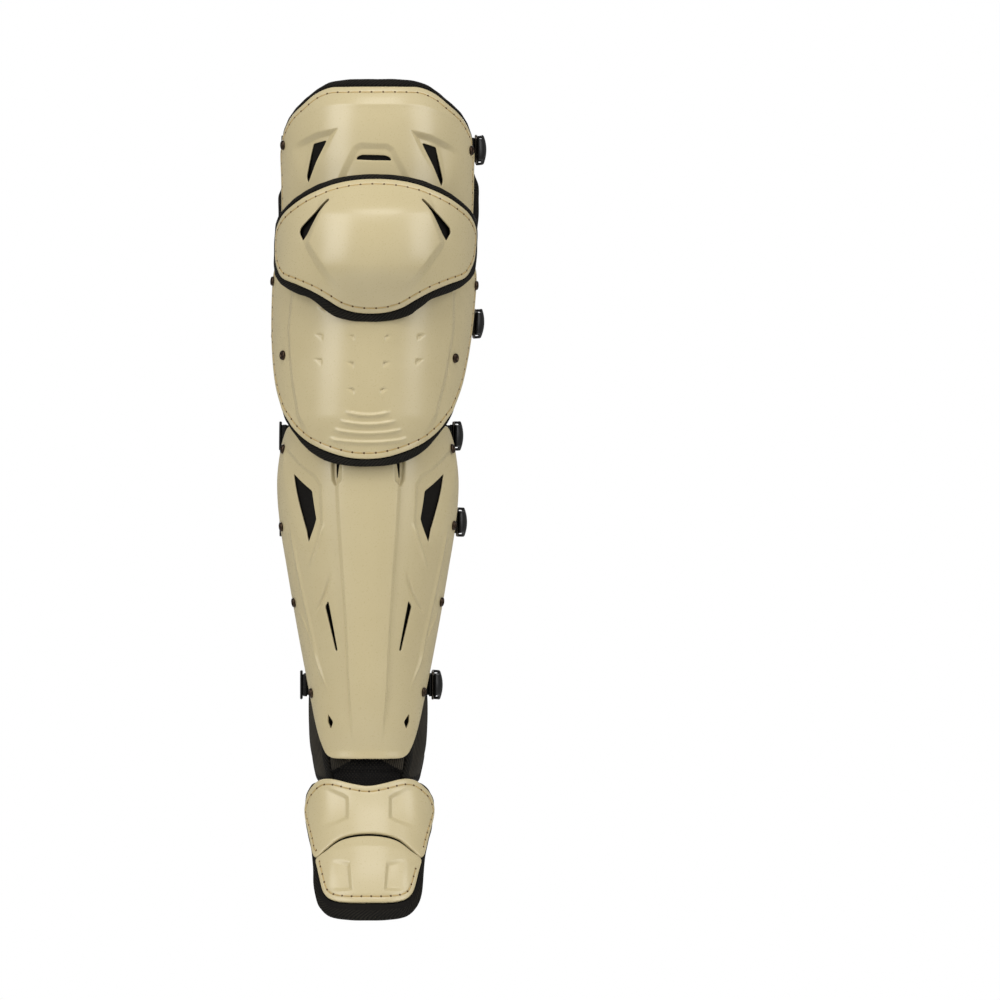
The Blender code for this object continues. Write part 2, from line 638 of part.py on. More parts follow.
def pad(name, form, half, plate_halves, wall, finish="pad"):
    """A liner under the plates, with a border that stands beside their edges."""
    outline = outline_on(form, half)
    edges = [outline_on(form, plate_half) for plate_half in plate_halves]
    creases = []
    for edge in edges:
        creases.append((grown(edge, BORDER_GAP), True))
        creases.append((grown(edge, BORDER_GAP + STEP_RUN), True))
    under = -(PLATE_WALL + PAD_GAP)

    def outer(flat):
        sunk = np.zeros(len(flat), bool)
        for edge in edges:
            sunk |= inside(grown(edge, BORDER_GAP + 0.5 * STEP_RUN), flat)
        return np.where(sunk, under, -BORDER_SINK)

    def inner(flat):
        full = smooth(distance(outline, flat) / RIM_TAPER)
        rim = -(BORDER_SINK + RIM_WALL)
        return rim + (under - wall - rim) * full

    return shell(
        name, finish, outline, form.place, outer, inner, creases=creases, fill=form.fill, bulge=RIM_BULGE
    )


def shin_panel_edge(form, up):
    """Half width round the leg of the shin plate's raised panel at this height."""
    down = (form.top - np.asarray(up, float)) / form.height
    across = eased([row[0] for row in SHIN_PANEL], [row[1] for row in SHIN_PANEL], down)
    return form.radius * np.arcsin(across * math.sin(WRAP))


def shin_plate():
    form = FORMS["shin"]
    start, end = SHIN_PANEL[0][0], SHIN_PANEL[-1][0]

    def relief(flat):
        round_, up = flat.T
        beyond = np.abs(round_) - shin_panel_edge(form, up)
        down = (form.top - up) / form.height
        ends = np.minimum((down - start + 0.03) / 0.03, (end + 0.04 - down) / 0.04)
        return SHIN_PANEL_RISE * np.clip(1 - beyond / SHIN_PANEL_FLANK, 0, 1) * np.clip(ends, 0, 1)

    ups = form.top - np.linspace(start, end, 12) * form.height
    creases = []
    for side in (-1, 1):
        for extra in (0.0, SHIN_PANEL_FLANK):
            line = np.stack((side * (shin_panel_edge(form, ups) + extra), ups), axis=-1)
            creases.append((line, False))
    vents = (SHIN_TOP_SLIT, SHIN_UPPER_VENT, SHIN_LOWER_SLIT, SHIN_BOTTOM_VENT)
    plate("shin_plate", form, SHIN_OUTLINE, vents, relief, creases)


def toe_outline():
    lowered = [(across, down + SEAM / FOOT_HEIGHT) for across, down in reversed(INSTEP_ARCH)]
    return tuple(lowered) + TOE_EDGE


def ankle():
    form = FORMS["ankle"]
    right = counter_clockwise(curve_through(form.flat(WING_OUTLINE), EDGE_STEP, True))
    for name, outline in (("ankle_wing_right", right), ("ankle_wing_left", mirrored(right))):
        shell(name, "pad", counter_clockwise(outline), form.place, flat_depth(0.0),
              flat_depth(-ANKLE_WALL), bulge=WING_BULGE)  # fmt: skip
    gusset = outline_on(form, GUSSET_OUTLINE)
    shell("ankle_gusset", "mesh", gusset, form.place, flat_depth(-1.0), flat_depth(-ANKLE_WALL + 1.0))


def band(name, finish, plan, height, width, wall, windows=(), outline=None):
    """A strip of the given width, upright along a plan of points (x, y) at one height."""
    plan = np.asarray(plan, float)
    along = np.concatenate(([0.0], np.cumsum(np.linalg.norm(np.diff(plan, axis=0), axis=1))))
    length = along[-1]

    def place(run, up):
        x = np.interp(run, along, plan[:, 0]) + side_slope(run, 0)
        y = np.interp(run, along, plan[:, 1]) + side_slope(run, 1)
        return posed(x, y, height + np.asarray(up, float))

    def side_slope(run, axis):
        start = (plan[1] - plan[0]) / (along[1] - along[0])
        end = (plan[-1] - plan[-2]) / (along[-1] - along[-2])
        return np.minimum(run, 0.0) * start[axis] + np.maximum(run - length, 0.0) * end[axis]

    half = width / 2
    if outline is None:
        outline = [(0, -half), (length, -half), (length, half), (0, half)]
    outline = np.array(outline, float)
    creases = [(np.array([(run, -half), (run, half)]), False) for run in along[1:-1]]
    return shell(
        name, finish, outline, place, flat_depth(wall / 2), flat_depth(-wall / 2),
        holes=[np.array(window, float) for window in windows], creases=creases, fill=None,
    )  # fmt: skip


def fold(middle, clear, start, end, steps=6):
    """Plan points of a strip that turns back round a bar, from start's side to end's side."""
    angles = np.linspace(math.radians(180), math.radians(360), steps + 1)
    turn = [(middle[0] + clear[0] * math.cos(a), middle[1] + clear[1] * math.sin(a)) for a in angles]
    return [start] + turn + [end]


def strap_plan(reach, edge, strap):
    """Plan of the long strap, from its sewn end on -X round the back to its fold in the clip."""
    side = reach + strap.flare
    rear = edge + BACK_START
    plan = [(-(reach - 2.0), edge + strap.start), (-(reach - 1.6), edge + strap.start + 4.0)]
    plan += [(-side, edge + 14.0), (-side, rear)]
    for angle in np.linspace(0, math.pi, 13)[1:-1]:
        plan.append((-side * math.cos(angle), rear + (strap.back - rear) * math.sin(angle)))
    bar = (reach + BAR[0], edge + BAR[1])
    plan.append((reach - 2.2, rear))
    turn = fold(bar, STRAP_TURN, (bar[0] - STRAP_TURN[0], bar[1] + 2.5),
                (bar[0] + STRAP_TURN[0], bar[1] + FOLD_LENGTH))  # fmt: skip
    return plan + turn


def hardware(strap):
    form = FORMS[strap.form]
    reach, edge = form.edge(strap.height, STRAP_WIDTH / 2)
    reach += strap.out
    band(f"{strap.name}_strap", "webbing", strap_plan(reach, edge, strap), strap.height, STRAP_WIDTH, STRAP_WALL)
    clip(strap, reach, edge)
    ring_front = (reach + RING_REAR[0], edge + RING_REAR[1] - RING_LENGTH)
    clear = WIRE_RADIUS + WIRE_CLEARANCE + STRAP_WALL / 2
    start = (ring_front[0] - clear, edge + strap.start)
    tab = [(ring_front[0] + clear, edge + strap.start + 0.8)]
    for angle in np.linspace(0, math.pi, 7):
        tab.append((ring_front[0] + clear * math.cos(angle), ring_front[1] + clear * math.sin(angle)))
    tab.append(start)
    band(f"{strap.name}_tab", "webbing", tab, strap.height, STRAP_WIDTH, STRAP_WALL)
    ring(strap, reach, edge)
    slider(strap, reach, edge)


def clip(strap, reach, edge):
    plan = curve_through([(reach + x, edge + y) for x, y in CLIP_PLAN], 3.6, False)
    length = np.linalg.norm(np.diff(plan, axis=0), axis=1).sum()
    half = STRAP_WIDTH / 2 + STRAP_CLEARANCE
    end = length - CLIP_WALL
    window = [(end - CLIP_WINDOW, -half), (end, -half), (end, half), (end - CLIP_WINDOW, half)]
    wide, corner = CLIP_HEIGHT / 2, CLIP_HEIGHT / 2 - CLIP_CORNER
    neck = STRAP_WIDTH / 2 - WIRE_CLEARANCE
    low = [(0, -neck), (HOOK_RUN, -neck), (HOOK_RUN + 2.5, -wide), (length - CLIP_CORNER, -wide), (length, -corner)]
    outline = low + [(run, -up) for run, up in reversed(low)]
    band(f"{strap.name}_clip", "clip", plan, strap.height, CLIP_HEIGHT, CLIP_WALL, [window], outline)


def ring(strap, reach, edge):
    """A closed wire rectangle, seen from the side."""
    half = STRAP_WIDTH / 2 + STRAP_CLEARANCE + WIRE_RADIUS
    rear = edge + RING_REAR[1]
    corner = 2.0
    loop = []
    centres = (
        (rear - corner, half - corner, 0), (rear - RING_LENGTH + corner, half - corner, 90),
        (rear - RING_LENGTH + corner, -half + corner, 180), (rear - corner, -half + corner, 270),
    )  # fmt: skip
    for y, z, turn in centres:
        for extra in (0, 45, 90):
            angle = math.radians(turn + extra)
            loop.append((y + corner * math.cos(angle), z + corner * math.sin(angle)))
    loop = np.array(loop)
    side = outward_of_loop(loop)
    points, sides = [], 6
    for k in range(len(loop)):
        for s in range(sides):
            angle = 2 * math.pi * s / sides
            y, z = loop[k] + side[k] * WIRE_RADIUS * math.cos(angle)
            points.append((reach + RING_REAR[0] + WIRE_RADIUS * math.sin(angle), y, strap.height + z))
    triangles = []
    for k in range(len(loop)):
        for s in range(sides):
            a, b = k * sides + s, k * sides + (s + 1) % sides
            c, d = (a + sides) % len(points), (b + sides) % len(points)
            triangles += [(a, d, b), (a, c, d)]
    solid(f"{strap.name}_ring", "metal", posed(*np.array(points).T), triangles)


def outward_of_loop(loop):
    ahead = np.roll(loop, -1, axis=0) - np.roll(loop, 1, axis=0)
    ahead /= np.linalg.norm(ahead, axis=1)[:, None]
    return np.stack((ahead[:, 1], -ahead[:, 0]), axis=-1)


def slider(strap, reach, edge):
    """A flat adjuster with two windows, on the strap's outer face on the -X side."""
    out = reach + strap.flare + STRAP_WALL / 2 + SLIDER_GAP + SLIDER_WALL / 2
    start = edge + 18.0
    plan = [(-out, start), (-out, start + SLIDER_LENGTH / 2), (-out, start + SLIDER_LENGTH)]
    half = STRAP_WIDTH / 2
    windows = []
    for middle in (0.29, 0.71):
        low, high = (middle - 0.13) * SLIDER_LENGTH, (middle + 0.13) * SLIDER_LENGTH
        windows.append([(low, -half), (high, -half), (high, half), (low, half)])
    band(f"{strap.name}_slider", "clip", plan, strap.height, SLIDER_HEIGHT, SLIDER_WALL, windows)


def rivet(index, spot):
    form = FORMS[spot.form]
    flat = form.flat([(spot.across, spot.down)])
    normal = normals(form.place, flat)[0]
    base = form.place(*flat.T)[0] + normal * RIVET_GAP
    side = np.cross(normal, (0.0, 0.0, 1.0))
    side /= np.linalg.norm(side)
    up = np.cross(side, normal)
    profile = ((1.0, 0.0), (0.93, 0.45), (0.6, 0.88))
    sides = 9
    points = []
    for radius, rise in profile:
        for s in range(sides):
            angle = 2 * math.pi * s / sides
            spoke = side * math.cos(angle) + up * math.sin(angle)
            points.append(base + spoke * radius * RIVET_RADIUS + normal * rise * RIVET_RISE)
    points += [base, base + normal * RIVET_RISE]
    triangles = []
    for k in range(len(profile) - 1):
        for s in range(sides):
            a, b = k * sides + s, k * sides + (s + 1) % sides
            triangles += [(a, b + sides, b), (a, a + sides, b + sides)]
    last = (len(profile) - 1) * sides
    for s in range(sides):
        triangles.append((s, (s + 1) % sides, len(points) - 2))
        triangles.append((last + (s + 1) % sides, last + s, len(points) - 1))
    solid(f"rivet_{index:02d}", "metal", points, triangles)


def clear_scene():
    for piece in list(bpy.data.objects):
        bpy.data.objects.remove(piece)


def main():
    clear_scene()
    plate("thigh_plate", FORMS["thigh"], THIGH_OUTLINE, (THIGH_SIDE_VENT, THIGH_MIDDLE_VENT))
    plate("knee_plate", FORMS["knee"], KNEE_OUTLINE, (KNEE_VENT,))
    plate("lower_knee_plate", FORMS["lower"], LOWER_OUTLINE)
    shin_plate()
    instep = INSTEP_TOP_EDGE + INSTEP_ARCH
    toe = toe_outline()
    plate("instep_plate", FORMS["foot"], instep)
    plate("toe_plate", FORMS["foot"], toe)
    pad("thigh_pad", FORMS["thigh"], THIGH_PAD_OUTLINE, [THIGH_OUTLINE], THIGH_PAD_WALL)
    pad("knee_pad", FORMS["knee"], KNEE_PAD_OUTLINE, [KNEE_OUTLINE], KNEE_PAD_WALL)
    pad("lower_knee_pad", FORMS["lower"], LOWER_PAD_OUTLINE, [LOWER_OUTLINE], LOWER_PAD_WALL)
    pad("shin_pad", FORMS["shin"], SHIN_PAD_OUTLINE, [SHIN_OUTLINE], SHIN_PAD_WALL)
    pad("foot_pad", FORMS["foot"], FOOT_PAD_OUTLINE, [instep, toe], FOOT_PAD_WALL)
    ankle()
    for strap in STRAPS:
        hardware(strap)
    for index, spot in enumerate(RIVETS, 1):
        rivet(index, spot)


main()
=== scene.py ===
"""The looks of a baseball catcher's leg guard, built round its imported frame.

Sizes are in millimetres and the meshes in metres. The front faces -Y, up is +Z, and the clips
are on the +X side. Most pieces are walls laid over a face that curves round the leg, whose flat
coordinates are millimetres round the leg and millimetres up.
"""

import logging
import math
from collections.abc import Callable, Sequence
from dataclasses import dataclass, field
from enum import Enum

import bpy
import numpy as np
from mathutils.geometry import delaunay_2d_cdt
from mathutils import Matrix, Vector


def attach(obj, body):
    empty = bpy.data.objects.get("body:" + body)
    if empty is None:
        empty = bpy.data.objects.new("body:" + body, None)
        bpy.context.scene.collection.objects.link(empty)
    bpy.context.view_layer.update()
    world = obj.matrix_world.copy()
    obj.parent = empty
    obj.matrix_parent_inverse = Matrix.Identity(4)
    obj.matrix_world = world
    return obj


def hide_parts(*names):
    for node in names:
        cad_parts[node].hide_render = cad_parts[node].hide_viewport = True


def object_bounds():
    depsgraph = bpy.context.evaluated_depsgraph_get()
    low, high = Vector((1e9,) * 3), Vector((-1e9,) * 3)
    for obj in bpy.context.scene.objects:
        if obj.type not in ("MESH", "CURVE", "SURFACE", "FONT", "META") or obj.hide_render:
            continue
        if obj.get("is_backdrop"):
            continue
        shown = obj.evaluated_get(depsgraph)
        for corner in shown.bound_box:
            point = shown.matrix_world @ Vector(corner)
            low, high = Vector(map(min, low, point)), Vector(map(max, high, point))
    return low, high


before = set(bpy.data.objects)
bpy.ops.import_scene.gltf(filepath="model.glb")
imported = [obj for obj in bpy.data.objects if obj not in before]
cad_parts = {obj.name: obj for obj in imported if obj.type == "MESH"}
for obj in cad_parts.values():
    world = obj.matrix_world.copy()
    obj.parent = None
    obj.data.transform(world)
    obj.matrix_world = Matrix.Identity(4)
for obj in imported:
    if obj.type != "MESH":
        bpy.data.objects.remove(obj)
CAD_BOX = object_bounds()

Array = np.ndarray
Point = tuple[float, float]
Height = Callable[[Array], Array]
Place = Callable[[Array, Array], Array]

LOG = logging.getLogger("leg_guard")
MM = 0.001

# The guard sits on the leg: its upper part and its foot lean to +X, and its thigh turns a little
LEAN = 8.3
LEAN_LOW = -165.0
LEAN_HIGH = 60.0
FOOT_LEAN = 1.9
FOOT_HIGH = -424.0
FOOT_RUN = 24.0
TURN = math.radians(-1.7)
TURN_LOW = 20.0
TURN_HIGH = 90.0
WRAP = math.radians(78)
OVERWRAP = math.radians(60)

PLATE_WALL = 3.0
PAD_GAP = 1.2
BORDER_SINK = 0.6
BORDER_GAP = 0.7
STEP_RUN = 0.4
RIM_WALL = 6.0
RIM_TAPER = 14.0
SEAM = 1.5


class Slot(Enum):
    """The record's material slots."""

    SHELL = "shell"
    PADDING = "padding"
    MESH = "mesh"
    WEBBING = "webbing"
    CLIP = "clip"
    WIRE = "wire"
    RIVET = "rivet"


def smooth(share: Array) -> Array:
    """An even rise from 0 to 1.

    Args:
        share: how far along the rise each point is.

    Returns:
        The height of the rise there.
    """
    share = np.clip(share, 0.0, 1.0)
    return share * share * (3 - 2 * share)


def ramp(share: Array) -> Array:
    """An even rise from 0 to 1 that is nearly straight, for a moulded flank."""
    return 0.75 * np.clip(share, 0.0, 1.0) + 0.25 * smooth(share)


def posed(x: Array, y: Array, z: Array) -> Array:
    """Leans and turns points of the upright guard as it sits on the leg.

    Args:
        x: across.
        y: backward.
        z: up.

    Returns:
        The points, one row each.
    """
    x, y, z = np.broadcast_arrays(x, y, z)
    lean = LEAN * smooth((z - LEAN_LOW) / (LEAN_HIGH - LEAN_LOW))
    lean = lean + FOOT_LEAN * smooth((FOOT_HIGH - z) / FOOT_RUN)
    turn = TURN * smooth((z - TURN_LOW) / (TURN_HIGH - TURN_LOW))
    cos, sin = np.cos(turn), np.sin(turn)
    return np.stack((x * cos - y * sin + lean, x * sin + y * cos, z), axis=-1)


def eased(known: Sequence[float], values: Sequence[float], at: Array) -> Array:
    """A smooth curve through the values, straight past its ends.

    Args:
        known: where the values are given.
        values: the values.
        at: where the curve is wanted.

    Returns:
        The curve's values there.
    """
    known, values, at = (np.asarray(part, float) for part in (known, values, at))
    slopes = np.gradient(values, known)
    index = np.clip(np.searchsorted(known, at) - 1, 0, len(known) - 2)
    run = known[index + 1] - known[index]
    share = np.clip((at - known[index]) / run, 0.0, 1.0)
    square, cube = share**2, share**3
    curve = (2 * cube - 3 * square + 1) * values[index]
    curve += (cube - 2 * square + share) * run * slopes[index]
    curve += (3 * square - 2 * cube) * values[index + 1]
    curve += (cube - square) * run * slopes[index + 1]
    below = np.minimum(at - known[0], 0.0) * slopes[0]
    above = np.maximum(at - known[-1], 0.0) * slopes[-1]
    return curve + below + above


@dataclass(frozen=True)
class Row:
    """One section of a form: its sizes as shares of the form's own."""

    down: float
    width: float
    front: float
    side: float


@dataclass(frozen=True)
class Form:
    """A face that curves round the leg."""

    top: float
    height: float
    half_width: float
    depth: float
    rows: tuple[Row, ...]
    shift: float = 0.0

    @property
    def radius(self) -> float:
        """Radius by which angles round the leg are unrolled."""
        return self.half_width / math.sin(WRAP)

    def column(self, name: str, up: Array) -> Array:
        """One size of the sections at these heights.

        Args:
            name: the size's field in Row.
            up: the heights.

        Returns:
            The size at each height.
        """
        down = (self.top - np.asarray(up, float)) / self.height
        return eased([row.down for row in self.rows], [getattr(row, name) for row in self.rows], down)

    def place(self, round_: Array, up: Array) -> Array:
        """Points of the face.

        Args:
            round_: how far round the leg.
            up: how far up.

        Returns:
            The points, one row each.
        """
        angle = np.asarray(round_, float) / self.radius
        reach = self.half_width * self.column("width", up) / math.sin(WRAP)
        front = self.depth * self.column("front", up)
        side = self.depth * self.column("side", up)
        bulge = (front - side) / (1 - math.cos(WRAP))
        return posed(reach * np.sin(angle), bulge * (1 - np.cos(angle)) - front, up)

    def flat(self, points: Sequence[Point]) -> Array:
        """Flat coordinates of shares of the half width and height.

        Args:
            points: (across, down) shares.

        Returns:
            Their flat coordinates.
        """
        across, down = np.asarray(points, float).T
        size = np.abs(across)
        angle = np.arcsin(np.minimum(size, 1.0) * math.sin(WRAP))
        angle = angle + np.maximum(size - 1.0, 0.0) * OVERWRAP
        return np.stack((np.sign(across) * angle * self.radius, self.top - down * self.height), axis=-1)

    def spots(self, points: Sequence[Point]) -> Array:
        """Flat coordinates of millimetres across from the middle and down from the top.

        Args:
            points: (across, down) as seen from the front.

        Returns:
            Their flat coordinates.
        """
        across, down = np.asarray(points, float).T
        up = self.top - down
        reach = self.half_width * self.column("width", up) / math.sin(WRAP)
        angle = np.arcsin(np.clip((across + self.shift) / reach, -1.0, 1.0))
        return np.stack((angle * self.radius, up), axis=-1)

    def edge(self, up: float, half: float) -> Point:
        """Where the plate's side edge is.

        Args:
            up: the height.
            half: how far above and below it counts.

        Returns:
            The half width there and the rearmost depth near it, unposed.
        """
        reach = self.half_width * float(self.column("width", up))
        ups = np.linspace(up - half, up + half, 7)
        return reach, -self.depth * float(self.column("side", ups).min())


THIGH = Form(
    126.8, 117.5, 78.6, 82.0,
    (
        Row(0.00, 0.97, 0.87, 0.12), Row(0.08, 0.98, 0.93, 0.15), Row(0.20, 1.00, 0.97, 0.18),
        Row(0.45, 1.00, 0.985, 0.20), Row(0.60, 0.995, 0.975, 0.20), Row(1.00, 0.985, 0.96, 0.20),
    ),
)  # fmt: skip
KNEE = Form(
    52.6, 108.6, 81.3, 118.0,
    (
        Row(0.00, 1.00, 0.756, 0.36), Row(0.12, 1.00, 0.865, 0.36), Row(0.28, 1.00, 0.95, 0.36),
        Row(0.50, 1.00, 1.00, 0.36), Row(0.72, 1.00, 0.975, 0.36), Row(0.88, 1.00, 0.905, 0.36),
        Row(1.00, 1.00, 0.825, 0.36),
    ),
)  # fmt: skip
LOWER = Form(
    -15.0, 156.4, 82.5, 87.0,
    (
        Row(0.00, 1.00, 0.99, 0.12), Row(0.20, 1.00, 1.00, 0.13), Row(0.39, 0.98, 1.00, 0.15),
        Row(0.60, 0.95, 0.995, 0.20), Row(0.75, 0.92, 0.985, 0.24), Row(1.00, 0.90, 0.965, 0.27),
    ),
)  # fmt: skip
SHIN = Form(
    -143.3, 268.5, 73.5, 71.6,
    (
        Row(0.00, 0.905, 1.000, 0.10), Row(0.08, 0.965, 1.000, 0.10), Row(0.155, 1.00, 1.000, 0.09),
        Row(0.22, 0.998, 0.995, 0.09), Row(0.30, 0.97, 0.985, 0.10), Row(0.44, 0.888, 0.965, 0.11),
        Row(0.63, 0.767, 0.930, 0.14), Row(0.77, 0.668, 0.900, 0.21), Row(0.82, 0.630, 0.885, 0.29),
        Row(0.90, 0.570, 0.855, 0.42), Row(1.00, 0.500, 0.790, 0.46),
    ),
    1.3,
)  # fmt: skip
FOOT = Form(
    -427.5, 95.7, 52.6, 130.0,
    (
        Row(0.00, 1.00, 0.48, 0.20), Row(0.25, 1.00, 0.575, 0.30), Row(0.50, 1.00, 0.70, 0.42),
        Row(0.75, 1.00, 0.83, 0.55), Row(1.00, 1.00, 0.93, 0.66),
    ),
)  # fmt: skip
ANKLE = Form(
    -344.0, 83.9, 46.0, 51.0,
    (
        Row(0.00, 1.01, 1.00, 0.10), Row(0.50, 1.01, 1.00, 0.10), Row(0.75, 0.985, 0.99, 0.12),
        Row(1.00, 0.90, 1.165, 0.18),
    ),
)  # fmt: skip

# Outlines as (across, down) shares, from the middle of the top to the middle of the bottom on
# the +X side. The other half is its mirror image.
THIGH_OUTLINE = (
    (0.00, -0.014), (0.30, -0.014), (0.50, -0.009), (0.66, 0.038), (0.77, 0.105), (0.88, 0.18),
    (0.95, 0.26), (0.985, 0.33), (1.00, 0.42), (1.00, 0.60), (1.00, 0.80), (0.99, 0.93),
    (0.93, 0.99), (0.80, 1.00), (0.40, 1.00), (0.00, 1.00),
)  # fmt: skip
THIGH_PAD_OUTLINE = (
    (0.00, -0.068), (0.30, -0.066), (0.52, -0.044), (0.69, 0.018), (0.80, 0.082), (0.90, 0.155),
    (0.972, 0.245), (1.002, 0.32), (1.004, 0.42), (1.004, 0.50), (1.03, 0.62), (1.09, 0.72),
    (1.10, 0.90), (1.05, 0.98), (0.90, 1.00), (0.40, 1.00), (0.00, 1.00),
)  # fmt: skip
KNEE_OUTLINE = (
    (0.00, 0.00), (0.20, 0.008), (0.40, 0.037), (0.56, 0.08), (0.707, 0.132), (0.826, 0.19),
    (0.92, 0.25), (0.97, 0.31), (0.995, 0.37), (1.00, 0.45), (0.99, 0.58), (0.96, 0.66),
    (0.915, 0.72), (0.75, 0.78), (0.58, 0.838), (0.44, 0.897), (0.307, 0.956), (0.16, 0.99),
    (0.00, 1.00),
)  # fmt: skip
KNEE_PAD_OUTLINE = (
    (0.00, -0.04), (0.21, -0.032), (0.42, -0.003), (0.64, 0.06), (0.80, 0.132), (0.895, 0.19),
    (0.97, 0.25), (1.03, 0.31), (1.08, 0.38), (1.10, 0.45), (1.08, 0.60), (1.01, 0.68),
    (0.97, 0.73), (0.905, 0.78), (0.77, 0.838), (0.60, 0.89), (0.485, 0.956), (0.37, 1.015),
    (0.20, 1.05), (0.00, 1.06),
)  # fmt: skip
LOWER_OUTLINE = (
    (0.00, 0.00), (0.45, 0.00), (0.90, 0.00), (0.985, 0.012), (1.00, 0.05), (1.00, 0.20),
    (1.00, 0.39), (0.974, 0.60), (0.93, 0.715), (0.905, 0.757), (0.855, 0.798), (0.80, 0.839),
    (0.716, 0.881), (0.598, 0.922), (0.407, 0.964), (0.19, 0.993), (0.00, 1.00),
)  # fmt: skip
LOWER_PAD_OUTLINE = (
    (0.00, 0.00), (0.45, 0.00), (0.90, 0.00), (0.985, 0.012), (1.00, 0.05), (1.008, 0.20),
    (1.008, 0.39), (0.97, 0.60), (0.932, 0.72), (0.917, 0.757), (0.888, 0.798), (0.836, 0.839),
    (0.77, 0.881), (0.70, 0.922), (0.602, 0.964), (0.443, 1.005), (0.235, 1.027), (0.00, 1.033),
)  # fmt: skip
SHIN_OUTLINE = (
    (0.00, 0.00), (0.45, 0.00), (0.90, 0.00), (0.98, 0.012), (1.00, 0.05), (1.00, 0.15),
    (1.00, 0.40), (1.00, 0.65), (1.00, 0.82), (1.00, 0.88), (0.985, 0.925), (0.92, 0.975),
    (0.78, 0.996), (0.50, 1.00), (0.00, 1.00),
)  # fmt: skip
SHIN_PAD_OUTLINE = (
    (0.00, 0.01), (0.45, 0.01), (0.90, 0.00), (0.98, 0.00), (1.00, 0.02), (1.00, 0.06),
    (1.00, 0.12), (1.00, 0.40), (1.00, 0.62), (1.00, 0.70), (0.96, 0.742), (0.45, 0.745),
    (0.00, 0.745),
)  # fmt: skip
# Half width of the shin's raised panel as (down, across) shares
SHIN_PANEL = ((0.12, 0.318), (0.175, 0.31), (0.40, 0.29), (0.64, 0.275), (0.83, 0.285), (0.92, 0.28))
# The fold below the thigh plate's top edge, as millimetres across and down
THIGH_CREST = (
    (-72, 34), (-67, 27), (-58, 21.5), (-40, 15.5), (0, 14.4), (40, 15.5), (58, 21.5), (67, 27), (72, 34),
)  # fmt: skip
INSTEP_TOP_EDGE = (
    (0.00, 0.056), (0.25, 0.036), (0.45, 0.01), (0.60, 0.00), (0.74, 0.016), (0.868, 0.073),
    (0.951, 0.138), (0.985, 0.203), (1.00, 0.268), (0.99, 0.333), (0.96, 0.398), (0.93, 0.463),
    (0.90, 0.528), (0.875, 0.593), (0.845, 0.636),
)  # fmt: skip
INSTEP_ARCH = ((0.81, 0.646), (0.66, 0.575), (0.46, 0.49), (0.25, 0.452), (0.00, 0.44))
TOE_EDGE = (
    (0.81, 0.685), (0.79, 0.724), (0.76, 0.789), (0.73, 0.854), (0.69, 0.919), (0.62, 0.965),
    (0.50, 0.99), (0.30, 1.00), (0.00, 1.00),
)  # fmt: skip
INSTEP_OUTLINE = INSTEP_TOP_EDGE + INSTEP_ARCH
TOE_OUTLINE = tuple((across, down + SEAM / FOOT.height) for across, down in reversed(INSTEP_ARCH)) + TOE_EDGE
FOOT_PAD_OUTLINE = (
    (0.00, 0.069), (0.30, 0.069), (0.55, 0.067), (0.72, 0.035), (0.86, 0.05), (0.95, 0.11),
    (1.00, 0.19), (1.015, 0.27), (0.98, 0.40), (0.93, 0.51), (0.89, 0.60), (0.87, 0.68), (0.86, 0.74),
    (0.855, 0.80), (0.85, 0.854), (0.835, 0.919), (0.805, 0.984), (0.75, 1.04), (0.62, 1.095),
    (0.30, 1.118), (0.00, 1.12),
)  # fmt: skip
WING_OUTLINE = (
    (0.725, 0.06), (0.80, 0.00), (1.10, 0.00), (1.35, 0.05), (1.55, 0.20), (1.63, 0.42),
    (1.56, 0.62), (1.42, 0.80), (1.25, 0.93), (1.10, 1.03), (0.95, 1.06), (0.80, 1.06), (0.725, 1.00),
    (0.725, 0.80), (0.70, 0.64), (0.60, 0.55), (0.58, 0.40), (0.60, 0.28), (0.69, 0.18),
)  # fmt: skip
GUSSET_OUTLINE = (
    (0.00, 0.60), (0.40, 0.60), (0.65, 0.60), (0.69, 0.64), (0.695, 0.78), (0.695, 0.92),
    (0.69, 1.01), (0.65, 1.055), (0.40, 1.066), (0.00, 1.066),
)  # fmt: skip


def curve_through(points: Array, step: float, closed: bool) -> Array:
    """Points at even steps along a smooth curve.

    Args:
        points: what the curve passes through.
        step: about how far apart the new points lie.
        closed: whether the curve joins its own start.

    Returns:
        The new points, one row each.
    """
    points = np.asarray(points, float)
    if closed:
        points = np.vstack((points[-2:], points, points[:3]))
    else:
        points = np.vstack((2 * points[0] - points[1], points, 2 * points[-1] - points[-2]))
    knots = np.concatenate(([0.0], np.cumsum(np.linalg.norm(np.diff(points, axis=0), axis=1) ** 0.5)))
    first, last = (2, len(points) - 3) if closed else (1, len(points) - 2)
    fine = np.linspace(knots[first], knots[last], 40 * (last - first) + 1)
    index = np.clip(np.searchsorted(knots, fine, side="right") - 1, 1, len(points) - 3)
    span = [knots[index + offset] for offset in (-1, 0, 1, 2)]
    hold = [points[index + offset] for offset in (-1, 0, 1, 2)]

    def between(left: Array, right: Array, low: Array, high: Array) -> Array:
        """Mixes two rows of points by where the curve is between two knots."""
        share = ((fine - low) / (high - low))[:, None]
        return left * (1 - share) + right * share

    pairs = [between(hold[k], hold[k + 1], span[k], span[k + 1]) for k in range(3)]
    triples = [between(pairs[k], pairs[k + 1], span[k], span[k + 2]) for k in range(2)]
    return resampled(between(triples[0], triples[1], span[1], span[2]), step, closed)


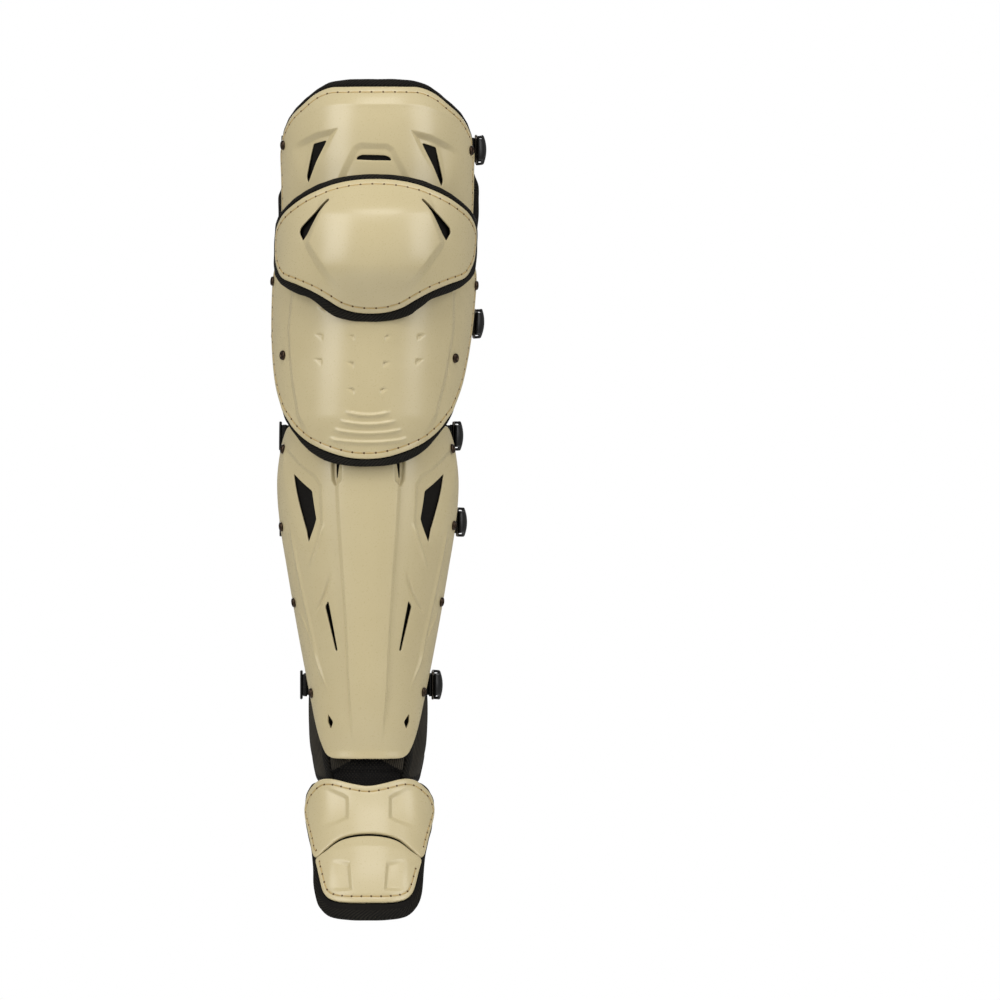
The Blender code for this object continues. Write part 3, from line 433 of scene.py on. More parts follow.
def resampled(path: Array, step: float, closed: bool) -> Array:
    """The same line with points at even steps.

    Args:
        path: the line. A closed one ends where it starts.
        step: about how far apart the new points lie.
        closed: whether the last point is dropped, as it is the first again.

    Returns:
        The new points.
    """
    along = np.concatenate(([0.0], np.cumsum(np.linalg.norm(np.diff(path, axis=0), axis=1))))
    count = max(3, round(along[-1] / step))
    wanted = np.linspace(0.0, along[-1], count + 1)
    if closed:
        wanted = wanted[:-1]
    return np.stack([np.interp(wanted, along, path[:, k]) for k in range(path.shape[1])], axis=-1)


def mirrored(loop: Array) -> Array:
    """The line's mirror image, run the other way."""
    return np.asarray(loop, float)[::-1] * (-1, 1)


def whole(half: Sequence[Point]) -> Array:
    """The closed outline of a half that runs from the middle of the top to that of the bottom."""
    half = np.asarray(half, float)
    return np.vstack((half, mirrored(half)[1:-1]))


def on_side(side: int, points: Sequence[Point]) -> list[Point]:
    """Points of the +X side, or their mirror image for a side of -1."""
    return [(side * across, down) for across, down in points]


def counter_clockwise(loop: Array) -> Array:
    """The loop, run counter-clockwise."""
    following = np.roll(loop, -1, axis=0)
    area = (loop[:, 0] * following[:, 1] - following[:, 0] * loop[:, 1]).sum()
    return loop if area > 0 else loop[::-1]


def outline_of(form: Form, half: Sequence[Point], step: float) -> Array:
    """The whole outline in flat coordinates.

    Args:
        form: the face that it lies on.
        half: its half in shares.
        step: about how far apart its points lie.

    Returns:
        The outline, counter-clockwise.
    """
    return counter_clockwise(curve_through(form.flat(whole(half)), step, True))


def outward(loop: Array) -> Array:
    """Unit directions out of the counter-clockwise loop, one for each point."""
    ahead = np.roll(loop, -1, axis=0) - np.roll(loop, 1, axis=0)
    ahead /= np.linalg.norm(ahead, axis=1)[:, None]
    return np.stack((ahead[:, 1], -ahead[:, 0]), axis=-1)


def grown(loop: Array, by: float) -> Array:
    """The counter-clockwise loop moved outward."""
    return loop + by * outward(loop)


def rounded(loop: Array, radius: float, step: float) -> Array:
    """The polygon with its corners rounded and its sides divided.

    Args:
        loop: the corners.
        radius: how far from a corner its rounding starts, at most.
        step: how far apart the new points lie.

    Returns:
        The new points.
    """
    path = []
    before, after = np.roll(loop, 1, axis=0), np.roll(loop, -1, axis=0)
    for corner, last, following in zip(loop, before, after):
        back, ahead = last - corner, following - corner
        start = corner + back * min(0.45, radius / np.linalg.norm(back))
        end = corner + ahead * min(0.45, radius / np.linalg.norm(ahead))
        for share in np.linspace(0.0, 1.0, 6):
            path.append((1 - share) ** 2 * start + 2 * share * (1 - share) * corner + share**2 * end)
    return resampled(np.array(path + path[:1]), step, True)


def inside(loop: Array, points: Array) -> Array:
    """Whether each point lies inside the loop.

    Args:
        loop: the loop.
        points: the points.

    Returns:
        True or False for each point.
    """
    following = np.roll(loop, -1, axis=0)
    found = np.zeros(len(points), bool)
    x, y = points.T
    for start, end in zip(loop, following):
        if start[1] == end[1]:
            continue
        crosses = (start[1] > y) != (end[1] > y)
        at = start[0] + (y - start[1]) * (end[0] - start[0]) / (end[1] - start[1])
        found ^= crosses & (x < at)
    return found


def distance(line: Array, points: Array, closed: bool = True) -> Array:
    """How far each point lies from the line.

    Args:
        line: the line's points.
        points: the points.
        closed: whether the line joins its own start.

    Returns:
        The distances.
    """
    start = line if closed else line[:-1]
    end = np.roll(line, -1, axis=0) if closed else line[1:]
    best = np.full(len(points), np.inf)
    for first, last in zip(start, end):
        run = last - first
        offset = points - first
        share = np.clip(offset @ run / max(run @ run, 1e-12), 0, 1)
        offset = offset - share[:, None] * run
        best = np.minimum(best, (offset * offset).sum(axis=1))
    return np.sqrt(best)


def normals(place: Place, flat: Array, reach: float = 0.5) -> Array:
    """Unit directions out of the face.

    Args:
        place: the face.
        flat: flat coordinates.
        reach: how far to each side the face is felt.

    Returns:
        The directions, one row each.
    """
    u, v = flat.T
    across = place(u + reach, v) - place(u - reach, v)
    upward = place(u, v + reach) - place(u, v - reach)
    found = np.cross(across, upward)
    return found / np.linalg.norm(found, axis=1)[:, None]


def near(line: Array, flat: Array, reach: float) -> Array:
    """Whether each point lies in the box round the line, grown by a reach."""
    return ((flat > line.min(axis=0) - reach) & (flat < line.max(axis=0) + reach)).all(axis=1)


def level(value: float) -> Height:
    """A height that is the same everywhere."""
    return lambda flat: np.full(len(flat), value)


def link(name: str, data: bpy.types.ID) -> bpy.types.Object:
    """A new object for the data, in the scene."""
    made = bpy.data.objects.new(name, data)
    bpy.context.scene.collection.objects.link(made)
    return made


def make_object(
    name: str, points: Array, faces: Array, materials: Sequence[bpy.types.Material]
) -> bpy.types.Object:
    """A mesh object at the origin.

    Args:
        name: its name.
        points: its points in millimetres.
        faces: its triangles or quads.
        materials: its material slots.

    Returns:
        The object.
    """
    mesh = bpy.data.meshes.new(name)
    mesh.from_pydata((np.asarray(points) * MM).tolist(), [], np.asarray(faces).tolist())
    for finish in materials:
        mesh.materials.append(finish)
    mesh.update()
    mesh.shade_smooth()
    return link(name, mesh)


def corner_points(mesh: bpy.types.Mesh) -> Array:
    """The number of the point at each corner of the mesh's faces."""
    corners = np.zeros(len(mesh.loops), np.int32)
    mesh.loops.foreach_get("vertex_index", corners)
    return corners


def settle(piece: bpy.types.Object, slot: Slot, *nodes: str) -> bpy.types.Object:
    """Puts a finished piece on the frame and reports it.

    Args:
        piece: the piece.
        slot: the material slot that its finish belongs to. It is not used.
        nodes: the frame's nodes that it stands for.

    Returns:
        The piece.
    """
    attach(piece, "root")
    if nodes:
        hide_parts(*nodes)
    LOG.info("%s: %d faces", piece.name, len(piece.data.polygons))
    return piece


@dataclass
class Wall:
    """A closed wall over a flat region of a face, with rounded edges.

    front and back give its two sides' heights above the face. lines are more lines that its
    mesh follows.
    """

    name: str
    place: Place
    outline: Array
    front: Height
    back: Height
    holes: Sequence[Array] = ()
    lines: Sequence[tuple[Array, bool]] = ()
    edge: float = 1.0
    hole_edge: float = 0.5
    step: float = 1.5
    refine: bool = False
    flat: Array = field(init=False)
    from_edge: Array = field(init=False)

    ROUNDING = (0.134, 0.5, 1.0)
    CLEAR = 0.45
    BEND = 0.012

    def bent(self, points: Array, reach: float) -> Array:
        """Whether the front bends near each point.

        Args:
            points: flat coordinates.
            reach: how far the bend is felt.

        Returns:
            True or False for each point.
        """
        middle = self.front(points)
        bend = np.zeros(len(points))
        for shift in ((reach, 0.0), (0.0, reach)):
            turn = self.front(points + shift) + self.front(points - shift) - 2 * middle
            bend = np.maximum(bend, np.abs(turn))
        return bend > self.BEND

    def staggered(self, step: float) -> Array:
        """Points of a staggered lattice that keep clear of the wall's lines.

        Args:
            step: how far apart they lie.

        Returns:
            The points in flat coordinates.
        """
        rise = step * 0.87
        low = np.floor(self.outline.min(axis=0) / (step, rise)).astype(int) - 1
        high = np.ceil(self.outline.max(axis=0) / (step, rise)).astype(int) + 1
        column, row = np.meshgrid(np.arange(low[0], high[0] + 1), np.arange(low[1], high[1] + 1))
        points = np.stack(((column + 0.5 * (row % 2)) * step, row * rise), axis=-1).reshape(-1, 2)
        points = points[inside(self.outline, points)]
        for line in (self.outline, *self.holes):
            points = points[distance(line, points) > self.edge + self.CLEAR * step]
        for line, closed in self.lines:
            points = points[distance(line, points, closed) > self.CLEAR * step]
        return points

    def lattice(self) -> Array:
        """The points between the wall's lines, twice as close where its front bends."""
        coarse = self.staggered(self.step)
        if not self.refine:
            return coarse
        fine = self.staggered(0.5 * self.step)
        reach = 0.6 * self.step
        return np.concatenate((coarse[~self.bent(coarse, reach)], fine[self.bent(fine, reach)]))

    def region(self) -> tuple[Array, Array]:
        """The region as flat points and triangles."""
        lines = [(self.outline, True)] + [(hole, True) for hole in self.holes]
        for share in self.ROUNDING:
            lines.append((grown(self.outline, -share * self.edge), True))
            lines += [(grown(hole, share * self.hole_edge), True) for hole in self.holes]
        lines += list(self.lines)
        flat, edges = [], []
        for line, closed in lines:
            start, count = len(flat), len(line)
            flat.extend(line.tolist())
            last = count if closed else count - 1
            edges.extend((start + k, start + (k + 1) % count) for k in range(last))
        flat.extend(self.lattice().tolist())
        points, _, faces, *_ = delaunay_2d_cdt(flat, edges, [], 0, 1e-4)
        points = np.array([tuple(point) for point in points])
        faces = np.array(faces)
        middle = points[faces].mean(axis=1)
        keep = inside(self.outline, middle)
        for hole in self.holes:
            keep &= ~inside(hole, middle)
        faces = faces[keep]
        first, second, third = (points[faces[:, k]] for k in range(3))
        (a, b), (c, d) = (second - first).T, (third - first).T
        turned = a * d - b * c < 0
        faces[turned] = faces[turned][:, ::-1]
        used = np.unique(faces)
        renumber = np.full(len(points), -1)
        renumber[used] = np.arange(len(used))
        return points[used], renumber[faces]

    def drop(self, away: Array, radius: float) -> Array:
        """How far a rounded edge lies below the face, this far away from it."""
        inset = np.clip(radius - away, 0.0, radius)
        return radius - np.sqrt(np.maximum(radius**2 - inset**2, 0.0))

    def build(self, *materials: bpy.types.Material) -> bpy.types.Object:
        """Makes the wall.

        Args:
            materials: its material slots.

        Returns:
            The object. Its UV map is the flat region in metres.
        """
        flat, faces = self.region()
        away = distance(self.outline, flat)
        drop = self.drop(away, self.edge)
        for hole in self.holes:
            drop = np.maximum(drop, self.drop(distance(hole, flat), self.hole_edge))
        base, out = self.place(*flat.T), normals(self.place, flat)
        top = base + out * (self.front(flat) - drop)[:, None]
        bottom = base + out * (self.back(flat) + drop)[:, None]
        ends = np.concatenate((faces[:, [0, 1]], faces[:, [1, 2]], faces[:, [2, 0]]))
        pairs = np.sort(ends, axis=1)
        _, index, count = np.unique(pairs, axis=0, return_inverse=True, return_counts=True)
        rim = ends[count[index.reshape(-1)] == 1]
        size = len(flat)
        side = np.stack((rim[:, 1], rim[:, 0], rim[:, 0] + size, rim[:, 1] + size), axis=-1)
        triangles = np.concatenate((faces, faces[:, ::-1] + size, side[:, [0, 1, 2]], side[:, [0, 2, 3]]))
        made = make_object(self.name, np.concatenate((top, bottom)), triangles, materials)
        self.flat = np.concatenate((flat, flat))
        self.from_edge = np.concatenate((away, away))
        self.write_map(made, "UVMap", self.flat[triangles.reshape(-1)] * MM)
        return made

    def write_map(self, made: bpy.types.Object, name: str, values: Array) -> None:
        """Writes a UV map.

        Args:
            made: the object.
            name: the map's name.
            values: a pair for each corner of each face.
        """
        layer = made.data.uv_layers.new(name=name)
        layer.data.foreach_set("uv", values.astype(np.float32).ravel())


# Relief: each piece of it gives a height for flat points, and a plate adds its pieces up.


@dataclass(frozen=True)
class Scoop:
    """A hollow that is steep along its walls and runs out towards its far side."""

    region: Array
    wall: Array
    far: Array
    depth: float
    slope: float
    run: float

    def __call__(self, flat: Array) -> Array:
        """The scoop's height at flat points."""
        lift = np.zeros(len(flat))
        here = near(self.region, flat, 0.0)
        here[here] = inside(self.region, flat[here])
        close = flat[here]
        out = smooth(distance(self.far, close, False) / self.run)
        lift[here] = -self.depth * ramp(distance(self.wall, close, False) / self.slope) * out
        return lift


@dataclass(frozen=True)
class Terrace:
    """A region raised or sunk by one height, with a flank of one width outside it."""

    region: Array
    height: float
    flank: float
    fade: Height | None = None

    def __call__(self, flat: Array) -> Array:
        """The terrace's height at flat points."""
        lift = np.zeros(len(flat))
        here = near(self.region, flat, self.flank)
        close = flat[here]
        away = np.where(inside(self.region, close), 0.0, distance(self.region, close))
        lift[here] = self.height * (1 - ramp(away / self.flank))
        return lift if self.fade is None else lift * self.fade(flat)


@dataclass(frozen=True)
class Ridge:
    """A soft ridge, or a groove if its height is below 0, that tapers out at its line's ends."""

    line: Array
    height: float
    width: float
    taper: float = 0.0

    def __call__(self, flat: Array) -> Array:
        """The ridge's height at flat points."""
        lift = np.zeros(len(flat))
        here = near(self.line, flat, 3 * self.width)
        close = flat[here]
        height = self.height * np.exp(-((distance(self.line, close, False) / self.width) ** 2))
        if self.taper:
            ends = np.minimum(*(np.linalg.norm(close - self.line[k], axis=1) for k in (0, -1)))
            height *= smooth(ends / self.taper)
        lift[here] = height
        return lift


@dataclass(frozen=True)
class Crease:
    """A fold line: past it, on its right, the face bends back by a slope."""

    line: Array
    slope: float
    soft: float
    reach: float

    def __call__(self, flat: Array) -> Array:
        """The fold's height at flat points."""
        run = np.diff(self.line, axis=0)
        side = np.zeros(len(flat))
        best = np.full(len(flat), np.inf)
        for start, step in zip(self.line, run):
            offset = flat - start
            share = np.clip(offset @ step / (step @ step), 0, 1)
            away = np.linalg.norm(offset - share[:, None] * step, axis=1)
            cross = step[0] * offset[:, 1] - step[1] * offset[:, 0]
            side = np.where(away < best, -np.sign(cross) * away, side)
            best = np.minimum(best, away)
        past = np.clip(side, -4 * self.soft, self.reach)
        eased_ = 0.5 * (past + np.sqrt(past**2 + self.soft**2))
        return -self.slope * eased_


def total(reliefs: Sequence[Height], base: float = 0.0) -> Height:
    """The height of several pieces of relief together.

    Args:
        reliefs: the pieces.
        base: a height added everywhere.

    Returns:
        Their sum.
    """
    return lambda flat: base + sum((relief(flat) for relief in reliefs), np.zeros(len(flat)))


def fading(form: Form, start: float, rise: float, end: float, fall: float) -> Height:
    """Lets relief run in and out with the distance down from the form's top.

    Args:
        form: the form.
        start: where it starts to run in.
        rise: how far it takes.
        end: where it has run out.
        fall: how far that takes.

    Returns:
        The share of the relief that is left.
    """

    def fade(flat: Array) -> Array:
        """The share at flat points."""
        down = form.top - flat[:, 1]
        return smooth((down - start) / rise) * smooth((end - down) / fall)

    return fade


# Finishes


def linear(hex_colour: str) -> tuple[float, float, float, float]:
    """An sRGB hex colour as linear values.

    Args:
        hex_colour: such as "#cfc29a".

    Returns:
        Red, green, blue and 1.
    """
    parts = [int(hex_colour[k : k + 2], 16) / 255 for k in (1, 3, 5)]
    red, green, blue = (c / 12.92 if c <= 0.04045 else ((c + 0.055) / 1.055) ** 2.4 for c in parts)
    return red, green, blue, 1.0


def add(
    tree: bpy.types.NodeTree,
    kind: str,
    settings: dict[str | int, object] | None = None,
    **links: bpy.types.NodeSocket,
) -> bpy.types.Node:
    """Adds a node.

    Args:
        tree: the tree that it joins.
        kind: its type.
        settings: its own settings, and values for its sockets by name or number.
        links: sockets that feed it, by the name of its own socket with _ for a space.

    Returns:
        The node.
    """
    node = tree.nodes.new(kind)
    for key, value in (settings or {}).items():
        if isinstance(key, int) or key in node.inputs:
            socket = node.inputs[key]
            if isinstance(value, bpy.types.NodeSocket):
                tree.links.new(value, socket)
            else:
                socket.default_value = value
        else:
            setattr(node, key, value)
    for key, socket in links.items():
        tree.links.new(socket, node.inputs[key.replace("_", " ")])
    return node


def new_material(name: str) -> tuple[bpy.types.Material, bpy.types.NodeTree, bpy.types.Node]:
    """An empty material.

    Args:
        name: its name.

    Returns:
        The material, its tree and its shader.
    """
    made = bpy.data.materials.new(name)
    made.use_nodes = True
    return made, made.node_tree, made.node_tree.nodes["Principled BSDF"]


@dataclass(frozen=True)
class MouldedPolyethylene:
    """Injection-moulded polyethylene plate: semi-gloss, evenly coloured, faintly pebbled."""

    colour: str = "#c9bb94"
    deep: str = "#c3b48b"
    roughness: float = 0.28
    pebble: float = 1.1

    def build(self) -> bpy.types.Material:
        """Makes the material."""
        made, tree, shader = new_material("moulded_polyethylene")
        coords = add(tree, "ShaderNodeTexCoord").outputs["Object"]
        cloud = add(tree, "ShaderNodeTexNoise", {"Scale": 28.0, "Detail": 2.0}, Vector=coords)
        colour = add(
            tree, "ShaderNodeMix",
            {"data_type": "RGBA", 0: cloud.outputs["Fac"], 6: linear(self.colour), 7: linear(self.deep)},
        )  # fmt: skip
        # The mould's texture is a fine pebble about a millimetre across
        fine = {"Scale": 1 / (self.pebble * MM), "Detail": 1.0}
        grain = add(tree, "ShaderNodeTexNoise", fine, Vector=coords)
        relief = {"Strength": 0.10, "Distance": 0.0002}
        bump = add(tree, "ShaderNodeBump", relief, Height=grain.outputs["Fac"])
        gloss = add(
            tree, "ShaderNodeMapRange",
            {"To Min": self.roughness - 0.03, "To Max": self.roughness + 0.04}, Value=grain.outputs["Fac"],
        )  # fmt: skip
        tree.links.new(colour.outputs[2], shader.inputs["Base Color"])
        tree.links.new(gloss.outputs[0], shader.inputs["Roughness"])
        tree.links.new(bump.outputs[0], shader.inputs["Normal"])
        shader.inputs["IOR"].default_value = 1.5
        return made


@dataclass(frozen=True)
class WovenCloth:
    """Black woven cloth on the piece's own UV map: a plain weave, or ribs of one direction. Its thread crests
    are painted lighter, a painted sheen.
    """

    name: str
    colour: str
    # light is the colour of the painted sheen on the thread crests
    light: str
    thread: float
    turn: float = 0.0
    ribs: bool = False
    depth: float = 0.0004
    roughness: float = 0.8
    uv: str = "UVMap"

    def build(self) -> bpy.types.Material:
        """Makes the material."""
        made, tree, shader = new_material(self.name)
        uv = add(tree, "ShaderNodeUVMap", {"uv_map": self.uv}).outputs[0]
        turned = add(
            tree, "ShaderNodeMapping", {"Rotation": (0, 0, math.radians(self.turn)), "Vector": uv}
        ).outputs[0]
        waves = []
        for direction in ("X", "Y"):
            waves.append(
                add(
                    tree, "ShaderNodeTexWave",
                    {"bands_direction": direction, "Scale": 0.314 / (self.thread * MM), "Distortion": 0.3,
                     "Detail Scale": 2.0},
                    Vector=turned,
                ).outputs["Fac"]
            )  # fmt: skip
        crossed = 1.0 if self.ribs else waves[1]
        weave = add(tree, "ShaderNodeMath", {"operation": "MULTIPLY", 0: waves[0], 1: crossed}).outputs[0]
        # The thread crests are painted in the light colour, a painted sheen that is stronger in some patches
        # than others
        coords = add(tree, "ShaderNodeTexCoord").outputs["Object"]
        sheen_patches = add(tree, "ShaderNodeTexNoise", {"Scale": 60.0, "Detail": 4.0}, Vector=coords).outputs["Fac"]
        painted_sheen = add(tree, "ShaderNodeMath", {"operation": "MULTIPLY", 0: weave, 1: sheen_patches}).outputs[0]
        colour = add(
            tree, "ShaderNodeMix",
            {"data_type": "RGBA", 0: painted_sheen, 6: linear(self.colour), 7: linear(self.light)},
        )  # fmt: skip
        bump = add(tree, "ShaderNodeBump", {"Strength": 0.8, "Distance": self.depth}, Height=weave)
        tree.links.new(colour.outputs[2], shader.inputs["Base Color"])
        tree.links.new(bump.outputs[0], shader.inputs["Normal"])
        shader.inputs["Roughness"].default_value = self.roughness
        shader.inputs["Specular IOR Level"].default_value = 0.16
        return made


@dataclass(frozen=True)
class SmoothFinish:
    """A moulded or plated finish with a fine surface grain."""

    name: str
    colour: str
    roughness: float
    metallic: float = 0.0
    grain: float = 0.6

    def build(self) -> bpy.types.Material:
        """Makes the material."""
        made, tree, shader = new_material(self.name)
        coords = add(tree, "ShaderNodeTexCoord").outputs["Object"]
        fine = {"Scale": 1 / (self.grain * MM), "Detail": 2.0}
        noise = add(tree, "ShaderNodeTexNoise", fine, Vector=coords)
        relief = {"Strength": 0.15, "Distance": 0.0002}
        bump = add(tree, "ShaderNodeBump", relief, Height=noise.outputs["Fac"])
        gloss = add(
            tree, "ShaderNodeMapRange",
            {"To Min": self.roughness - 0.05, "To Max": self.roughness + 0.08}, Value=noise.outputs["Fac"],
        )  # fmt: skip
        tree.links.new(gloss.outputs[0], shader.inputs["Roughness"])
        tree.links.new(bump.outputs[0], shader.inputs["Normal"])
        shader.inputs["Base Color"].default_value = linear(self.colour)
        shader.inputs["Metallic"].default_value = self.metallic
        return made


def made_once(finish: MouldedPolyethylene | WovenCloth | SmoothFinish) -> bpy.types.Material:
    """A field of Finishes that makes the finish's material when they are made."""
    return field(default_factory=finish.build)


@dataclass
class Finishes:
    """Every finish of the guard, made once."""

    plate: bpy.types.Material = made_once(MouldedPolyethylene())
    # Each cloth's second colour is painted on its thread crests as a painted sheen
    # Nylon liner cloth, a plain weave of about half a millimetre drawn at one millimetre to show
    liner: bpy.types.Material = made_once(WovenCloth("woven_nylon", "#0f0d0b", "#2b2722", 1.0))
    # Corded nylon of the ankle wings, with upright ribs
    ribbed: bpy.types.Material = made_once(
        WovenCloth("corded_nylon", "#15130f", "#575043", 2.0, ribs=True, depth=0.0007, roughness=0.7)
    )
    # Grosgrain binding tape with slanting ribs
    binding: bpy.types.Material = made_once(
        WovenCloth("grosgrain_binding", "#080705", "#2a261e", 2.0, 55.0, True, 0.0006, 0.7, "Binding")
    )
    # Air mesh of the ankle panel, with cells about two millimetres across
    mesh: bpy.types.Material = made_once(
        WovenCloth("spacer_mesh", "#050404", "#2b2721", 2.4, turn=45.0, depth=0.0012)
    )
    # Polypropylene webbing, woven with threads of about a millimetre and a half
    webbing: bpy.types.Material = made_once(
        WovenCloth("polypropylene_webbing", "#080706", "#1a1714", 1.6, depth=0.0008, roughness=0.7)
    )
    # Acetal buckles, moulded with a satin surface
    acetal: bpy.types.Material = made_once(SmoothFinish("moulded_acetal", "#050403", 0.42))
    # Steel wire, nickel plated and worn dull
    wire: bpy.types.Material = made_once(SmoothFinish("nickel_plated_wire", "#56514a", 0.4, 1.0))
    # Brass rivets with a dark bronze plating
    bronze: bpy.types.Material = made_once(SmoothFinish("bronzed_brass", "#43362c", 0.34, 1.0))
    # Waxed polyester thread, and the needle holes as dark spots: the shade inside each hole is painted on
    thread: bpy.types.Material = made_once(SmoothFinish("polyester_thread", "#b79c66", 0.6))
    hole: bpy.types.Material = made_once(SmoothFinish("needle_hole_painted_shade", "#5a3f1e", 0.95))


def geometry_tree(name: str, *lengths: str) -> tuple[bpy.types.NodeTree, bpy.types.bpy_prop_collection]:
    """An empty Geometry Nodes tree.

    Args:
        name: its name.
        lengths: the names of the lengths that it takes besides its geometry.

    Returns:
        The tree, and what its input node gives.
    """
    tree = bpy.data.node_groups.new(name, "GeometryNodeTree")
    sockets = tree.interface
    sockets.new_socket("Geometry", in_out="INPUT", socket_type="NodeSocketGeometry")
    for length in lengths:
        sockets.new_socket(length, in_out="INPUT", socket_type="NodeSocketFloat")
    sockets.new_socket("Geometry", in_out="OUTPUT", socket_type="NodeSocketGeometry")
    return tree, add(tree, "NodeGroupInput").outputs


def make_guide(
    name: str, points: Sequence[Array], facing: Sequence[Array], edges: Sequence[tuple[int, int]] = ()
) -> bpy.types.Object:
    """A guide for Geometry Nodes, whose points know which way they face.

    Args:
        name: its name.
        points: its points in millimetres.
        facing: a unit direction for each point.
        edges: its edges.

    Returns:
        The guide.
    """
    mesh = bpy.data.meshes.new(name)
    mesh.from_pydata((np.asarray(points) * MM).tolist(), list(edges), [])
    layer = mesh.attributes.new("facing", "FLOAT_VECTOR", "POINT")
    layer.data.foreach_set("vector", np.asarray(facing, np.float32).ravel())
    return link(name, mesh)


def facing_of(tree: bpy.types.NodeTree) -> bpy.types.NodeSocket:
    """The directions that a guide's points face, in its tree."""
    named = {"data_type": "FLOAT_VECTOR", "Name": "facing"}
    return add(tree, "GeometryNodeInputNamedAttribute", named).outputs[0]


@dataclass
class StitchLine:
    """A row of stitches with a needle hole at each end, laid by Geometry Nodes. Each hole is a small dark
    bead, its shade painted on.
    """

    pitch: float = 9.4
    length: float = 8.8
    width: float = 1.15
    height: float = 1.0
    hole: float = 1.9
    proud: float = 0.1

    def tree(self, thread: bpy.types.Material, hole: bpy.types.Material) -> bpy.types.NodeTree:
        """The node tree.

        Args:
            thread: the stitches' material.
            hole: the needle holes' material, a painted shade.

        Returns:
            The tree, with inputs Pitch, Length, Width, Height and Hole.
        """
        tree, given = geometry_tree("stitch_line", "Pitch", "Length", "Width", "Height", "Hole")
        curve = add(tree, "GeometryNodeMeshToCurve", Mesh=given["Geometry"]).outputs[0]
        half = add(tree, "ShaderNodeMath", {"operation": "DIVIDE", 0: given["Pitch"], 1: 2.0}).outputs[0]
        line = add(tree, "GeometryNodeResampleCurve", {"mode": "LENGTH"}, Curve=curve, Length=half).outputs[0]
        tangent = add(tree, "GeometryNodeInputTangent").outputs[0]
        axes = {"primary_axis": "X", "secondary_axis": "Z", "Primary Axis": tangent}
        turn = add(tree, "FunctionNodeAxesToRotation", {**axes, "Secondary Axis": facing_of(tree)}).outputs[0]
        index = add(tree, "GeometryNodeInputIndex").outputs[0]
        odd = add(tree, "ShaderNodeMath", {"operation": "MODULO", 0: index, 1: 2.0}).outputs[0]
        even = add(tree, "ShaderNodeMath", {"operation": "SUBTRACT", 0: 1.0, 1: odd}).outputs[0]
        ball = add(tree, "GeometryNodeMeshUVSphere", {"Segments": 8, "Rings": 6, "Radius": 0.5}).outputs[0]
        soft = add(tree, "GeometryNodeSetShadeSmooth", Geometry=ball).outputs[0]
        parts = []
        for chosen, sizes, finish in (
            (odd, ("Length", "Width", "Height"), thread),
            (even, ("Hole", "Hole", "Height"), hole),
        ):
            size = {k: given[name] for k, name in enumerate(sizes)}
            scale = add(tree, "ShaderNodeCombineXYZ", size).outputs[0]
            laid = add(
                tree, "GeometryNodeInstanceOnPoints",
                Points=line, Selection=chosen, Instance=soft, Rotation=turn, Scale=scale,
            ).outputs[0]  # fmt: skip
            real = add(tree, "GeometryNodeRealizeInstances", Geometry=laid).outputs[0]
            parts.append(add(tree, "GeometryNodeSetMaterial", {"Material": finish}, Geometry=real).outputs[0])
        joined = add(tree, "GeometryNodeJoinGeometry")
        for part in parts:
            tree.links.new(part, joined.inputs[0])
        add(tree, "NodeGroupOutput", Geometry=joined.outputs[0])
        return tree

    def build(
        self, name: str, place: Place, path: Array, lift: Height, finishes: Finishes
    ) -> bpy.types.Object:
        """Lays stitches along a line of a face.

        Args:
            name: the piece's name.
            place: the face.
            path: the line in flat coordinates. A closed one ends where it starts.
            lift: the face's relief, on which the stitches lie.
            finishes: the guard's finishes.

        Returns:
            The stitches as one plain mesh.
        """
        out = normals(place, path)
        points = place(*path.T) + out * (lift(path) + self.proud)[:, None]
        edges = [(k, k + 1) for k in range(len(path) - 1)]
        guide = make_guide(f"{name}_guide", points, out, edges)
        sizes = (self.pitch, self.length, self.width, self.height, self.hole)
        values = dict(zip(("Pitch", "Length", "Width", "Height", "Hole"), sizes))
        return realised(guide, name, self.tree(finishes.thread, finishes.hole), values)


def realised(
    guide: bpy.types.Object, name: str, tree: bpy.types.NodeTree, values: dict[str, float]
) -> bpy.types.Object:
    """Runs a Geometry Nodes tree on a guide and keeps the result as a plain mesh.

    Args:
        guide: the object that the tree starts from. It is removed.
        name: the new piece's name.
        tree: the tree.
        values: its inputs by name, in millimetres.

    Returns:
        The new piece.
    """
    modifier = guide.modifiers.new("nodes", "NODES")
    modifier.node_group = tree
    for item in tree.interface.items_tree:
        if item.in_out == "INPUT" and item.name in values:
            modifier[item.identifier] = values[item.name] * MM
    evaluated = guide.evaluated_get(bpy.context.evaluated_depsgraph_get())
    mesh = bpy.data.meshes.new_from_object(evaluated)
    guide.modifiers.remove(modifier)
    bpy.data.objects.remove(guide)
    mesh.name = name
    return link(name, mesh)


